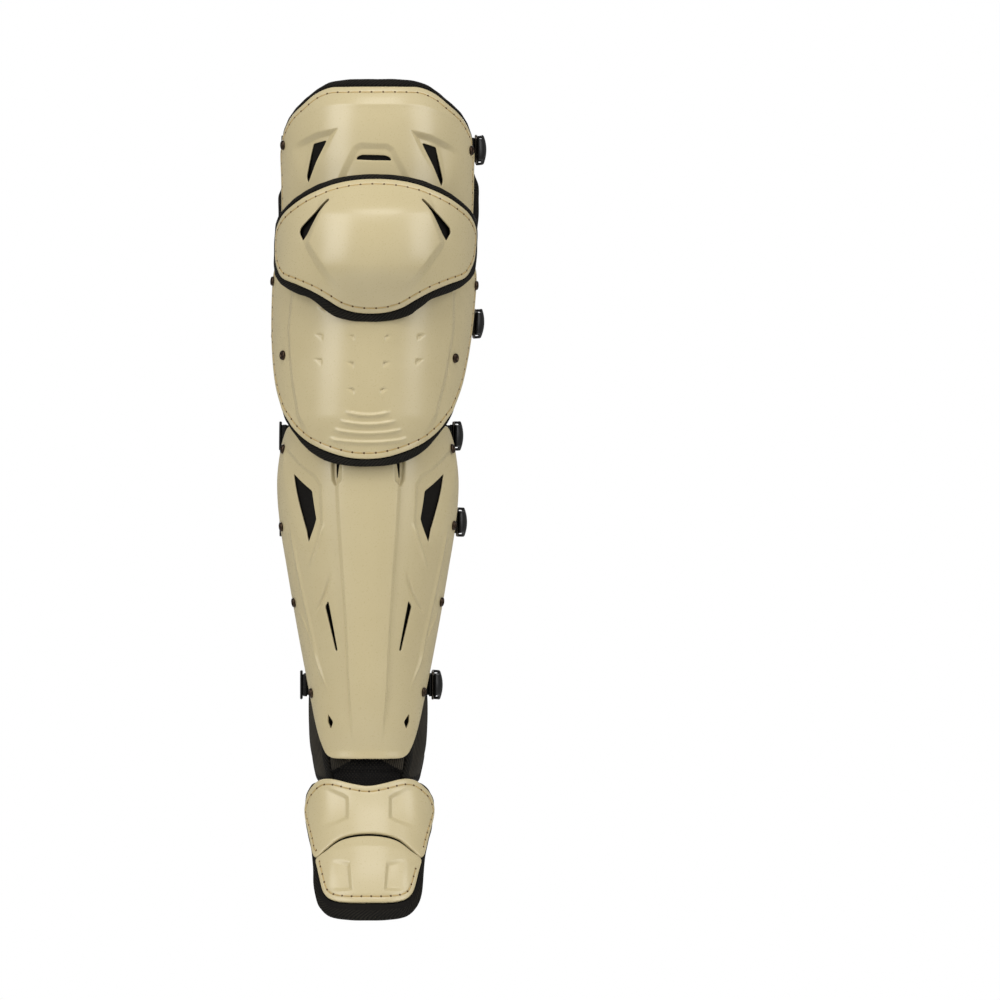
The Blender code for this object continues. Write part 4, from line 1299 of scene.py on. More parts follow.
@dataclass
class Plates:
    """The six moulded plates, with their vents, relief and stitches."""

    finishes: Finishes
    step: float = 1.5
    outline_step: float = 2.2
    vent_corner: float = 1.4
    vent_step: float = 1.1
    channel: float = 0.45
    channel_width: float = 0.75
    channel_lines: tuple[float, ...] = (-1.1, -0.55, 0.0, 0.55, 1.1)
    hollowed: float = 0.9
    thinned: float = 1.6
    thin_reach: float = 4.5
    bare_reach: float = 8.0
    roll: float = math.radians(1.6)
    roll_down: float = 40.0
    panel_height: float = 2.7
    panel_flank: float = 3.8
    panel_past: float = 0.06
    panel_run: float = 0.2
    lip: float = 1.3
    lip_down: float = 258.0
    lip_run: float = 10.0

    def plate(
        self, name: str, form: Form, half: Sequence[Point], vents: Sequence[Array], reliefs: Sequence[Height],
        inset: float = 0.0, bare: Array | None = None,
    ) -> None:
        """Makes one plate, with a row of stitches in a channel if it is sewn.

        Args:
            name: its node's name.
            form: the face that it lies on.
            half: its outline's half.
            vents: its vents in flat coordinates.
            reliefs: its relief.
            inset: how far inside its edge it is sewn, or 0.
            bare: a part of its edge that isn't sewn.
        """
        outline = outline_of(form, half, self.outline_step)
        holes = [rounded(counter_clockwise(vent), self.vent_corner, self.vent_step) for vent in vents]
        lines = []
        sewn = list(reliefs)
        seam = self.seam(outline, inset, bare)
        if inset:
            for by in self.channel_lines:
                lines.append((self.seam(outline, inset - by, bare), False))
            sewn.append(Ridge(seam, -self.channel, self.channel_width))
        relief, plain = total(sewn), total(reliefs)

        def back(flat: Array) -> Array:
            """The plate's back, hollowed behind its relief and thin round the vents."""
            far = np.full(len(flat), 2 * self.thin_reach)
            away = np.min([distance(hole, flat) for hole in holes] + [far], axis=0)
            thinner = self.thinned * (1 - smooth(away / self.thin_reach))
            return np.minimum(plain(flat), 0.0) * self.hollowed - PLATE_WALL + thinner

        wall = Wall(
            f"{name}_shell", form.place, outline, relief, back, holes, lines, step=self.step, refine=True
        )
        settle(wall.build(self.finishes.plate), Slot.SHELL, name)
        if inset:
            stitches = StitchLine(7.8, 7.2) if form is FOOT else StitchLine()
            piece = stitches.build(f"{name}_stitches", form.place, seam, relief, self.finishes)
            settle(piece, Slot.SHELL)

    def seam(self, outline: Array, inset: float, bare: Array | None) -> Array:
        """The line that the stitches follow.

        Args:
            outline: the plate's outline.
            inset: how far inside it the line lies.
            bare: a part of the edge that the line leaves free.

        Returns:
            The line. If it leaves nothing free it ends where it starts.
        """
        loop = grown(outline, -inset)
        if bare is None:
            return np.vstack((loop, loop[:1]))
        kept = distance(bare, outline, False) > self.bare_reach
        first = int(np.flatnonzero(kept & ~np.roll(kept, 1))[0])
        order = np.roll(np.arange(len(loop)), -first)
        return loop[order][kept[order]]

    def thigh(self) -> None:
        """The thigh plate: a rolled top band, a sunk panel round the slot and a scoop at each vent."""

        def spots(points: Sequence[Point]) -> Array:
            """Flat coordinates of the plate's features, which sit a little turned on it."""
            sine = math.sin(self.roll)
            return THIGH.spots([(x - sine * (down - self.roll_down), down + sine * x) for x, down in points])

        crest = curve_through(THIGH.spots(THIGH_CREST), 3.0, False)
        reliefs: list[Height] = [thigh_band(), Ridge(crest, height=0.3, width=2.0, taper=20.0)]
        panel = whole([(0, 50.5), (10, 50.5), (13, 52.5), (24, 74), (28, 84), (0, 84)])
        reliefs.append(Terrace(counter_clockwise(spots(panel)), height=-2.1, flank=5.0))
        slot = ((-14.9, 59.2), (-13, 56.5), (-9.3, 55.2), (9.3, 55.2), (13, 56.5), (14.9, 59.2), (0, 59.5))
        vents = [spots(slot)]
        for side in (1, -1):
            vent = ((39.9, 43.9), (51.2, 46.8), (55.2, 73.5), (53.6, 78.4))
            vents.append(spots(on_side(side, vent)))
            region = ((28.6, 33.8), (46, 37.3), (67, 47.8), (66, 62), (58, 84), (46, 67), (36, 48))
            wall = ((67, 47.8), (46, 37.3), (28.6, 33.8), (36, 48), (46, 67))
            far = ((69, 46), (67, 62), (58, 85), (45, 67))
            parts = [spots(on_side(side, line)) for line in (region, wall, far)]
            reliefs.append(Scoop(*parts, depth=3.3, slope=4.6, run=26.0))
        self.plate("thigh_plate", THIGH, THIGH_OUTLINE, vents, reliefs, inset=5.0)

    def knee(self) -> None:
        """The knee plate: a dome with a raised six-sided middle."""
        spots = KNEE.spots
        panel = whole([(0, 0), (31, 4), (36.8, 17), (49.0, 51.7), (24.5, 87), (16, 102), (0, 106)])

        fade = fading(KNEE, 8.0, 24.0, 100.0, 32.0)
        reliefs = [Terrace(counter_clockwise(spots(panel)), height=5.0, flank=8.6, fade=fade)]
        vent = ((35.9, 18.0), (37.3, 16.7), (59.9, 39.6), (60.8, 43.5), (57.4, 50.2))
        vents = [spots(on_side(side, vent)) for side in (1, -1)]
        self.plate("knee_plate", KNEE, KNEE_OUTLINE, vents, reliefs, inset=4.4)

    def lower_knee(self) -> None:
        """The lower knee plate: a raised face with rows of dimples and sagging ribs."""
        spots = LOWER.spots
        face = whole(
            [(0, -6), (58, -6), (61, 24.3), (62.6, 53.4), (58.3, 88.5), (52.3, 119), (44, 138), (0, 150)]
        )
        fade = fading(LOWER, -3.6, 18.0, 150.0, 30.0)
        reliefs: list[Height] = [Terrace(counter_clockwise(spots(face)), height=3.5, flank=7.5, fade=fade)]
        dimple = ((4.4, -3.5), (-2.4, -3.6), (-3.9, -2.2), (-4.0, 3.6))
        rows = ((39.5, 37.4), (40, 59.6), (15.3, 60.4), (39.6, 79.5), (14.8, 81.9), (13.6, 102.9))
        for across, down in rows:
            # The topmost dimple shows on one side only
            for side in (1, -1) if down > rows[0][1] else (-1,):
                loop = on_side(side, [(across + x, down + y) for x, y in dimple])
                parts = [spots(loop), spots(loop), spots([loop[0], loop[-1]])]
                reliefs.append(Scoop(*parts, depth=1.9, slope=1.2, run=5.0))
        shift, sag = 1.2, 3.4
        for down, half in ((121.4, 18.5), (128.7, 23), (135.9, 28), (143.2, 32.5)):
            rib = [(share * half + shift, down - sag * share**2) for share in np.linspace(-1, 1, 9)]
            reliefs.append(Ridge(curve_through(spots(rib), 2.0, False), height=1.7, width=1.45, taper=9.0))
        self.plate("lower_knee_plate", LOWER, LOWER_OUTLINE, (), reliefs, inset=4.7)

    def shin(self) -> None:
        """The shin plate: a raised middle panel, vents and scoops down its sides."""
        spots = SHIN.spots
        downs, widths = (np.array(column) for column in zip(*SHIN_PANEL))
        start, end = downs[0], downs[-1]

        def panel(flat: Array) -> Array:
            """The raised middle panel."""
            round_, up = flat.T
            down = (SHIN.top - up) / SHIN.height
            across = eased(downs, widths, np.clip(down, start, end))
            beyond = np.abs(round_ - SHIN.shift) - SHIN.radius * np.arcsin(across * math.sin(WRAP))
            ends = (end + self.panel_past - down) / self.panel_run
            return self.panel_height * (1 - ramp(beyond / self.panel_flank)) * smooth(ends)

        def lip(flat: Array) -> Array:
            """The bottom edge curls out a little."""
            return self.lip * smooth((SHIN.top - flat[:, 1] - self.lip_down) / self.lip_run) ** 2

        reliefs: list[Height] = [panel, lip]
        vents = []
        cuts = (
            ((21.2, 24), (26.3, 24), (26.2, 43.2), (25.4, 43.6)),
            ((62.4, 39.4), (46.9, 53.6), (43.4, 76.2), (48.4, 95.2)),
            ((32.3, 141.6), (34.9, 146.4), (26.4, 182), (24.8, 181.8)),
            ((32.8, 232.6), (32.9, 239.4), (30.5, 245), (28.5, 239)),
        )
        notch = ((20.6, 10), (28.0, 10), (27.8, 44.5), (25.4, 48.5), (22.2, 45))
        wall = ((68, 16), (62.1, 23), (42.2, 40.2), (37.6, 48.2), (36.4, 78), (40, 96))
        region = (*wall, (56, 98), (66, 60))
        far = ((70, 20), (66, 60), (56, 98), (40, 98))
        gouge = ((30.6, 116), (32.2, 126), (35.2, 135.5), (39.5, 144), (45, 154))
        streak = ((35, 78), (40, 94), (47.5, 118))
        long_edge = ((64.5, 75), (61, 95), (55.3, 124), (45.1, 170.6), (36, 213))
        second_edge = ((57.5, 146), (47, 172), (32, 218))
        for side in (1, -1):
            vents += [spots(on_side(side, vent)) for vent in cuts]
            sunk = counter_clockwise(spots(on_side(side, notch)))
            reliefs.append(Terrace(sunk, height=-2.8, flank=1.7))
            parts = [spots(on_side(side, line)) for line in (region, wall, far)]
            reliefs.append(Scoop(*parts, depth=2.3, slope=4.2, run=18.0))
            line = curve_through(spots(on_side(side, gouge)), 2.0, False)
            reliefs.append(Ridge(line, height=-1.7, width=1.5, taper=15.0))
            reliefs.append(Ridge(spots(on_side(side, streak)), height=1.3, width=1.5, taper=12.0))
            line = curve_through(spots(on_side(side, long_edge)), 3.0, False)
            reliefs.append(Ridge(line, height=1.2, width=2.8, taper=26.0))
            reliefs.append(Ridge(spots(on_side(side, second_edge)), height=0.8, width=1.7, taper=20.0))
        self.plate("shin_plate", SHIN, SHIN_OUTLINE, vents, reliefs)

    def foot(self) -> None:
        """The instep plate and the toe plate, each with a bracket-shaped recess at both sides."""
        wall = ((40, 5), (31, 7), (20, 11), (15.8, 13.8), (15.8, 31.2), (26, 36), (40, 41))
        reliefs: list[Height] = self.brackets(wall, ((40, -10), (40, 60)), 2.4, 3.6, 27.0)
        arch = curve_through(FOOT.flat(whole(INSTEP_ARCH)), 3.0, False)
        self.plate("instep_plate", FOOT, INSTEP_OUTLINE, (), reliefs, 4.6, arch)
        ledge = FOOT.spots([(-44, 64), (-38, 60), (-20, 54), (0, 52), (20, 54), (38, 60), (44, 64)])
        reliefs = [Crease(curve_through(ledge, 3.0, False)[::-1], slope=0.16, soft=0.6, reach=9.0)]
        wall = ((32, 62), (23, 63), (14.4, 64.5), (12.3, 86.6), (23, 87.5), (32, 87.5))
        reliefs += self.brackets(wall, ((32, 50), (32, 100)), 2.1, 3.0, 20.0)
        self.plate("toe_plate", FOOT, TOE_OUTLINE, (), reliefs, 4.6, arch - (0.0, SEAM))

    def brackets(
        self, wall: Sequence[Point], far: Sequence[Point], depth: float, slope: float, run: float
    ) -> list[Height]:
        """Bracket-shaped recesses at both sides of a foot plate.

        Args:
            wall: the steep side of the one on +X, which also bounds it.
            far: the line towards which it runs out.
            depth: how deep it is.
            slope: how wide its steep side is.
            run: how wide its gentle side is.

        Returns:
            Both recesses.
        """
        found: list[Height] = []
        for side in (1, -1):
            parts = [FOOT.spots(on_side(side, line)) for line in (wall, wall, far)]
            found.append(Scoop(*parts, depth, slope, run))
        return found

    def build(self) -> None:
        """Makes every plate."""
        self.thigh()
        self.knee()
        self.lower_knee()
        self.shin()
        self.foot()


def thigh_band() -> Crease:
    """The fold below the thigh plate's top edge, above which the plate and its liner lean back."""
    line = curve_through(THIGH.spots(((-76, 42), *THIGH_CREST, (76, 42))), 3.0, False)
    return Crease(line[::-1], slope=0.16, soft=0.6, reach=16.0)


@dataclass
class Pads:
    """The padded liners behind the plates, the ankle wings and the mesh panel."""

    finishes: Finishes
    step: float = 2.2
    outline_step: float = 2.4
    binding: float = 7.0
    binding_step: float = 0.5
    binding_run: float = 0.8
    pucker: float = 0.25
    channel: float = 26.0
    quilt: float = 1.3
    wing_wall: float = 7.0
    panel_wall: float = 6.0
    band_height: float = 1.3

    def inner_step(self, away: Array) -> Array:
        """How far the cloth lies below its binding, this far from the edge."""
        return self.binding_step * smooth((away - self.binding + self.binding_run) / self.binding_run)

    def pad(
        self, name: str, form: Form, half: Sequence[Point], plates: Sequence[Sequence[Point]],
        wall: float, follow: Height = level(0.0),
    ) -> None:  # fmt: skip
        """Makes a liner with a bound border that stands beside the plates' edges.

        Args:
            name: its node's name.
            form: the face that it lies on.
            half: its outline's half.
            plates: the outlines of the plates that lie on it.
            wall: its thickness.
            follow: relief that both its sides follow.
        """
        outline = grown(outline_of(form, half, self.outline_step), 1.0)
        edges = [outline_of(form, plate, self.outline_step) for plate in plates]
        lines = [(grown(outline, -self.binding), True)]
        for edge in edges:
            lines += [(grown(edge, BORDER_GAP), True), (grown(edge, BORDER_GAP + STEP_RUN), True)]
        under = -(PLATE_WALL + PAD_GAP)

        def front(flat: Array) -> Array:
            """Sunk under the plates, raised beside them, fullest along the binding."""
            sunk = np.zeros(len(flat), bool)
            for edge in edges:
                sunk |= inside(grown(edge, BORDER_GAP + 0.5 * STEP_RUN), flat)
            away = distance(outline, flat)
            pucker = self.pucker * np.sin(flat[:, 0] / 2.9) * np.sin(flat[:, 1] / 3.7 + 0.6)
            swell = pucker * smooth((8 - away) / 3) - self.inner_step(away)
            return np.where(sunk, under, -BORDER_SINK + swell) + follow(flat)

        def back(flat: Array) -> Array:
            """Thin at the rim, full behind the plates, with sewn channels across it."""
            away = distance(outline, flat)
            rim = -(BORDER_SINK + RIM_WALL)
            full = rim + (under - wall - rim) * smooth(away / RIM_TAPER)
            across = np.abs(np.sin(math.pi * flat[:, 1] / self.channel)) ** 0.5
            upright = np.abs(np.sin(math.pi * (flat[:, 0] / (1.6 * self.channel) + 0.5))) ** 0.5
            pillow = self.quilt * (1 - np.minimum(across, upright)) * smooth((away - 10) / 8)
            return full + pillow + follow(flat)

        wall_ = Wall(f"{name}_liner", form.place, outline, front, back, lines=lines, edge=2.7, step=self.step)
        piece = wall_.build(self.finishes.liner, self.finishes.binding)
        self.bind(wall_, piece, outline)
        settle(piece, Slot.PADDING, name)

    def bind(self, wall: Wall, piece: bpy.types.Object, outline: Array) -> None:
        """Gives the border its binding and a UV map that runs along it.

        Args:
            wall: the liner's wall.
            piece: the liner.
            outline: its outline.
        """
        mesh = piece.data
        corners = corner_points(mesh)
        flat, away = wall.flat, wall.from_edge
        steps = np.linalg.norm(np.roll(outline, -1, axis=0) - outline, axis=1)
        starts = np.concatenate(([0.0], np.cumsum(steps)))
        along, best = np.zeros(len(flat)), np.full(len(flat), np.inf)
        for k, start in enumerate(outline):
            run = outline[(k + 1) % len(outline)] - start
            offset = flat - start
            share = np.clip(offset @ run / (run @ run), 0, 1)
            gap = np.linalg.norm(offset - share[:, None] * run, axis=1)
            along = np.where(gap < best, starts[k] + share * steps[k], along)
            best = np.minimum(best, gap)
        pairs = np.stack((along, away), axis=-1)[corners].reshape(-1, 3, 2)
        wide = pairs[:, :, 0].max(axis=1) - pairs[:, :, 0].min(axis=1) > starts[-1] / 2
        pairs[wide, :, 0] += np.where(pairs[wide, :, 0] < starts[-1] / 2, starts[-1], 0.0)
        wall.write_map(piece, "Binding", pairs.reshape(-1, 2) * MM)
        middle = away[corners].reshape(-1, 3).mean(axis=1)
        mesh.polygons.foreach_set("material_index", (middle < self.binding).astype(np.int32))

    def thigh_follow(self, flat: Array) -> Array:
        """The thigh liner leans back with its plate, and its side flaps stand out."""
        down = THIGH.top - flat[:, 1]
        side = smooth((np.abs(flat[:, 0]) - 105) / 9)
        flare = np.where(flat[:, 0] > 0, 3.6 * smooth((down - 62) / 14), 2.0 * smooth((down - 78) / 8))
        return thigh_band()(flat) + side * flare

    def ankle(self) -> None:
        """The two ankle wings, and the mesh panel between them."""
        right = counter_clockwise(curve_through(ANKLE.flat(WING_OUTLINE), self.outline_step, True))
        left = counter_clockwise(mirrored(right))
        for name, loop in (("ankle_wing_right", right), ("ankle_wing_left", left)):
            outline = grown(loop, 0.7)

            def front(flat: Array, outline: Array = outline) -> Array:
                """A soft swell inside the binding."""
                away = distance(outline, flat)
                return 0.2 - self.inner_step(away) + 0.9 * smooth((away - 8) / 14)

            wall = Wall(
                f"{name}_flap", ANKLE.place, outline, front, level(-self.wing_wall),
                lines=[(grown(outline, -self.binding), True)], edge=3.0, step=self.step,
            )  # fmt: skip
            piece = wall.build(self.finishes.ribbed, self.finishes.binding)
            self.bind(wall, piece, outline)
            settle(piece, Slot.PADDING, name)
        self.gusset()

    def gusset(self) -> None:
        """The mesh panel, with a smooth band up each side."""
        outline = outline_of(ANKLE, GUSSET_OUTLINE, self.outline_step)
        corners = [(13, 66), (13, 69.5), (33.5, 81.5), (40, 84), (40, 60), (13, 60)]
        band = counter_clockwise(ANKLE.spots(corners))
        bands = [band, counter_clockwise(mirrored(band))]

        def fold(flat: Array) -> Array:
            """A fold across the panel, a pillow over it and the bands up its sides."""
            down = ANKLE.top - flat[:, 1]
            pillow = 0.9 * smooth((down - 60) / 8) * smooth((77 - down) / 3)
            lift = pillow - 1.3 * np.exp(-(((down - 78) / 1.6) ** 2))
            raised = sum(Terrace(region, self.band_height, 1.5)(flat) for region in bands)
            return np.where(raised > self.band_height / 2, -0.9 + 0.3 * raised, -1.9 + lift)

        wall = Wall(
            "ankle_gusset_panel", ANKLE.place, outline, fold, level(-self.panel_wall), edge=1.5, step=1.4
        )
        piece = wall.build(self.finishes.mesh, self.finishes.ribbed)
        middle = wall.flat[corner_points(piece.data)].reshape(-1, 3, 2).mean(axis=1)
        banded = sum(inside(region, middle) for region in bands)
        piece.data.polygons.foreach_set("material_index", (banded > 0).astype(np.int32))
        settle(piece, Slot.MESH, "ankle_gusset")

    def build(self) -> None:
        """Makes every liner."""
        self.pad("thigh_pad", THIGH, THIGH_PAD_OUTLINE, [THIGH_OUTLINE], 8.0, self.thigh_follow)
        self.pad("knee_pad", KNEE, KNEE_PAD_OUTLINE, [KNEE_OUTLINE], 7.0)
        self.pad("lower_knee_pad", LOWER, LOWER_PAD_OUTLINE, [LOWER_OUTLINE], 7.8)
        self.pad("shin_pad", SHIN, SHIN_PAD_OUTLINE, [SHIN_OUTLINE], 7.5)
        self.pad("foot_pad", FOOT, FOOT_PAD_OUTLINE, [INSTEP_OUTLINE, TOE_OUTLINE], 7.0)
        self.ankle()


@dataclass(frozen=True)
class StrapRow:
    """Where one strap runs.

    out is how far its fittings stand beyond the plate's half width, and flare the strap beyond
    them. start is where the webbing starts behind the plate's edge.
    """

    name: str
    form: Form
    height: float
    back: float
    out: float
    flare: float
    start: float


STRAPS = (
    StrapRow("thigh", THIGH, 79.8, 68.0, 0.0, -3.0, 2.3),
    StrapRow("knee", LOWER, -61.0, 62.0, 0.0, -3.0, 1.4),
    StrapRow("calf_upper", SHIN, -152.0, 66.0, 0.0, 1.0, 3.2),
    StrapRow("calf_lower", SHIN, -222.0, 62.0, 0.0, -2.5, 1.9),
    StrapRow("ankle", SHIN, -354.0, 46.0, 3.5, 0.3, 3.2),
)


@dataclass
class Strip:
    """An upright strip that follows a plan at one height."""

    plan: Array
    height: float

    def __post_init__(self) -> None:
        """Works out how far along each point of the plan lies."""
        self.plan = np.asarray(self.plan, float)
        steps = np.linalg.norm(np.diff(self.plan, axis=0), axis=1)
        self.along = np.concatenate(([0.0], np.cumsum(steps)))

    @property
    def length(self) -> float:
        """The strip's whole length."""
        return float(self.along[-1])

    def place(self, run: Array, up: Array) -> Array:
        """Points of the strip.

        Args:
            run: how far along it.
            up: how far above its middle.

        Returns:
            The points, one row each.
        """
        run, up = np.asarray(run, float), np.asarray(up, float)
        point = []
        for axis in range(2):
            values = self.plan[:, axis]
            start = (values[1] - values[0]) / (self.along[1] - self.along[0])
            end = (values[-1] - values[-2]) / (self.along[-1] - self.along[-2])
            past = np.minimum(run, 0.0) * start + np.maximum(run - self.length, 0.0) * end
            point.append(np.interp(run, self.along, values) + past)
        return posed(point[0], point[1], self.height + up)


@dataclass
class Hardware:
    """The five straps with their tabs, rings, hook clips and adjusters."""

    finishes: Finishes
    width: float = 18.0
    webbing: float = 1.6
    clip_height: float = 24.0
    clip_wall: float = 3.0
    clip_window: float = 10.0
    clip_corner: float = 2.5
    hook_run: float = 17.0
    clearance: float = 0.8
    wire: float = 1.0
    wire_clearance: float = 0.4
    ring_length: float = 11.3
    ring_rear: Point = (0.6, 19.5)
    bar: Point = (2.2, 40.3)
    turn: Point = (3.2, 3.9)
    fold_length: float = 14.0
    back_start: float = 46.0
    slider_length: float = 17.0
    slider_height: float = 23.5
    slider_wall: float = 1.8
    slider_gap: float = 0.5
    slider_start: float = 18.0
    clip_plan: tuple[Point, ...] = (
        (-2.7, 22.0), (-2.7, 18.5), (-1.4, 15.2), (2.0, 14.0), (5.6, 16.0), (7.6, 20.5), (7.8, 25.5),
        (6.6, 30.5), (4.6, 35.0), (2.8, 38.8), (1.2, 42.0),
    )  # fmt: skip

    def band(
        self, name: str, strip: Strip, wall: float, slot: Slot, finish: bpy.types.Material, outline: Array,
        windows: Sequence[Array] = (), dome: float = 0.0, edge: float = 0.7, step: float = 1.6,
    ) -> bpy.types.Object:  # fmt: skip
        """Makes a strip with a thickness.

        Args:
            name: its node's name.
            strip: what it follows.
            wall: its thickness.
            slot: its material slot.
            finish: its material.
            outline: its outline along and across the strip.
            windows: holes through it.
            dome: how much fuller its outer face is in the middle.
            edge: radius of its edges.
            step: how fine its mesh is.

        Returns:
            The piece.
        """
        half = np.abs(outline[:, 1]).max()

        def front(flat: Array) -> Array:
            """The outer face, lower towards its sides."""
            return wall / 2 - 0.3 * dome - dome * (flat[:, 1] / half) ** 2

        def back(flat: Array) -> Array:
            """The inner face, which bows a little less."""
            return -wall / 2 - 0.8 * dome * (flat[:, 1] / half) ** 2

        shape = Wall(f"{name}_piece", strip.place, outline, front, back, windows, edge=edge, step=step)
        return settle(shape.build(finish), slot, name)

    def rectangle(self, length: float, half: float, corner: float = 1.0) -> Array:
        """A strip's outline with rounded corners."""
        return rounded(self.box(0, length, half), corner, 1.6)

    def box(self, low: float, high: float, half: float) -> Array:
        """The corners of a rectangle along a strip, counter-clockwise."""
        return np.array([(low, -half), (high, -half), (high, half), (low, half)], float)

    def fold(self, middle: Point, start: Point, end: Point) -> list[Point]:
        """Plan of a strip that turns back round a bar.

        Args:
            middle: the middle of the turn.
            start: where the strip comes from.
            end: where it goes.

        Returns:
            The plan's points.
        """
        angles = np.linspace(math.pi, 2 * math.pi, 15)
        (x, y), (wide, deep) = middle, self.turn
        turned = [(x + wide * math.cos(angle), y + deep * math.sin(angle)) for angle in angles]
        return [start, *turned, end]

    def strap_plan(self, reach: float, edge: float, row: StrapRow) -> list[Point]:
        """Plan of the long strap, from its sewn end on -X round the back to its fold in the clip.

        Args:
            reach: half width at which its fittings stand.
            edge: depth of the plate's rear edge.
            row: where the strap runs.

        Returns:
            The plan's points.
        """
        side = reach + row.flare
        rear = edge + self.back_start
        first = [(-(reach - 2.0), edge + row.start), (-(reach - 1.6), edge + row.start + 4.0)]
        first += [(-side, edge + 14.0), (-side, rear)]
        for angle in np.linspace(0, math.pi, 37)[1:-1]:
            first.append((-side * math.cos(angle), rear + (row.back - rear) * math.sin(angle)))
        bar = (reach + self.bar[0], edge + self.bar[1])
        first.append((reach - 2.2, rear))
        inner = (bar[0] - self.turn[0], bar[1] + 2.5)
        return first + self.fold(bar, inner, (bar[0] + self.turn[0], bar[1] + self.fold_length))

    def strap(self, row: StrapRow) -> None:
        """Makes one strap and its fittings.

        Args:
            row: where it runs.
        """
        reach, edge = row.form.edge(row.height, self.width / 2)
        reach += row.out
        strip = Strip(self.strap_plan(reach, edge, row), row.height)
        self.band(f"{row.name}_strap", strip, self.webbing, Slot.WEBBING, self.finishes.webbing,
                  self.rectangle(strip.length, self.width / 2))  # fmt: skip
        self.clip(row, reach, edge)
        front = (reach + self.ring_rear[0], edge + self.ring_rear[1] - self.ring_length)
        clear = self.wire + self.wire_clearance + self.webbing / 2
        plan = [(front[0] + clear, edge + row.start + 0.8)]
        for angle in np.linspace(0, math.pi, 13):
            plan.append((front[0] + clear * math.cos(angle), front[1] + clear * math.sin(angle)))
        plan.append((front[0] - clear, edge + row.start))
        strip = Strip(plan, row.height)
        self.band(f"{row.name}_tab", strip, self.webbing, Slot.WEBBING, self.finishes.webbing,
                  self.rectangle(strip.length, self.width / 2))  # fmt: skip
        self.ring(row, reach, edge)
        self.slider(row, reach, edge)

    def clip(self, row: StrapRow, reach: float, edge: float) -> None:
        """Makes the hook clip, a curved body with a window for the strap.

        Args:
            row: where its strap runs.
            reach: half width at which it stands.
            edge: depth of the plate's rear edge.
        """
        plan = curve_through([(reach + x, edge + y) for x, y in self.clip_plan], 0.9, False)
        strip = Strip(plan, row.height)
        half = self.width / 2 + self.clearance
        end = strip.length - self.clip_wall
        window = self.box(end - self.clip_window, end, half)
        wide = self.clip_height / 2
        corner = wide - self.clip_corner
        neck = self.width / 2 - self.wire_clearance
        low = [(0, -neck), (self.hook_run, -neck), (self.hook_run + 2.5, -wide)]
        low += [(strip.length - self.clip_corner, -wide), (strip.length, -corner)]
        outline = rounded(np.array(low + [(run, -up) for run, up in reversed(low)], float), 1.5, 1.2)
        self.band(f"{row.name}_clip", strip, self.clip_wall, Slot.CLIP, self.finishes.acetal, outline,
                  [rounded(window, 1.2, 1.2)], 2.4, 0.9, 1.2)  # fmt: skip

    def ring(self, row: StrapRow, reach: float, edge: float) -> None:
        """Makes the wire ring, a rounded rectangle seen from the side.

        Args:
            row: where its strap runs.
            reach: half width at which it stands.
            edge: depth of the plate's rear edge.
        """
        half = self.width / 2 + self.clearance + self.wire
        rear = edge + self.ring_rear[1]
        front = rear - self.ring_length
        corners = np.array([(rear, half), (front, half), (front, -half), (rear, -half)])
        loop = rounded(corners, 3.2, 1.0)
        side = outward(loop)
        sides = 12
        turn = 2 * math.pi * np.arange(sides) / sides
        y = loop[:, None, 0] + side[:, None, 0] * self.wire * np.cos(turn)
        z = loop[:, None, 1] + side[:, None, 1] * self.wire * np.cos(turn)
        x = np.broadcast_to(reach + self.ring_rear[0] + self.wire * np.sin(turn), y.shape)
        points = posed(x.ravel(), y.ravel(), row.height + z.ravel())
        ring, spoke = np.meshgrid(np.arange(len(loop)), np.arange(sides), indexing="ij")
        following, after = (ring + 1) % len(loop), (spoke + 1) % sides
        here, there = ring * sides, following * sides
        quads = np.stack((here + spoke, there + spoke, there + after, here + after), axis=-1)
        piece = make_object(f"{row.name}_ring_wire", points, quads.reshape(-1, 4), [self.finishes.wire])
        settle(piece, Slot.WIRE, f"{row.name}_ring")

    def slider(self, row: StrapRow, reach: float, edge: float) -> None:
        """Makes the flat adjuster with two windows, on the strap's outer face.

        Args:
            row: where its strap runs.
            reach: half width at which the fittings stand.
            edge: depth of the plate's rear edge.
        """
        out = reach + row.flare + self.webbing / 2 + self.slider_gap + self.slider_wall / 2
        start = edge + self.slider_start
        strip = Strip([(-out, start + share * self.slider_length) for share in (0, 0.5, 1)], row.height)
        windows = []
        for middle in (0.29, 0.71):
            low, high = ((middle + step) * self.slider_length for step in (-0.13, 0.13))
            windows.append(rounded(self.box(low, high, self.width / 2), 0.8, 1.0))
        outline = self.rectangle(self.slider_length, self.slider_height / 2, 2.0)
        self.band(f"{row.name}_slider", strip, self.slider_wall, Slot.CLIP, self.finishes.acetal, outline,
                  windows, 0.0, 0.75, 1.2)  # fmt: skip

    def build(self) -> None:
        """Makes every strap."""
        for row in STRAPS:
            self.strap(row)


@dataclass(frozen=True)
class RivetSpot:
    """A rivet's place on a form, in shares."""

    form: Form
    across: float
    down: float


RIVETS = (
    RivetSpot(THIGH, -0.954, 0.381), RivetSpot(THIGH, 0.965, 0.418), RivetSpot(LOWER, -0.99, 0.078),
    RivetSpot(LOWER, 0.99, 0.100), RivetSpot(LOWER, -0.870, 0.465), RivetSpot(LOWER, 0.858, 0.480),
    RivetSpot(SHIN, -0.965, 0.073), RivetSpot(SHIN, 0.965, 0.072), RivetSpot(SHIN, -0.975, 0.307),
    RivetSpot(SHIN, 0.972, 0.303), RivetSpot(SHIN, -0.970, 0.535), RivetSpot(SHIN, 0.970, 0.533),
    RivetSpot(SHIN, -0.955, 0.806), RivetSpot(SHIN, 0.952, 0.803),
)  # fmt: skip


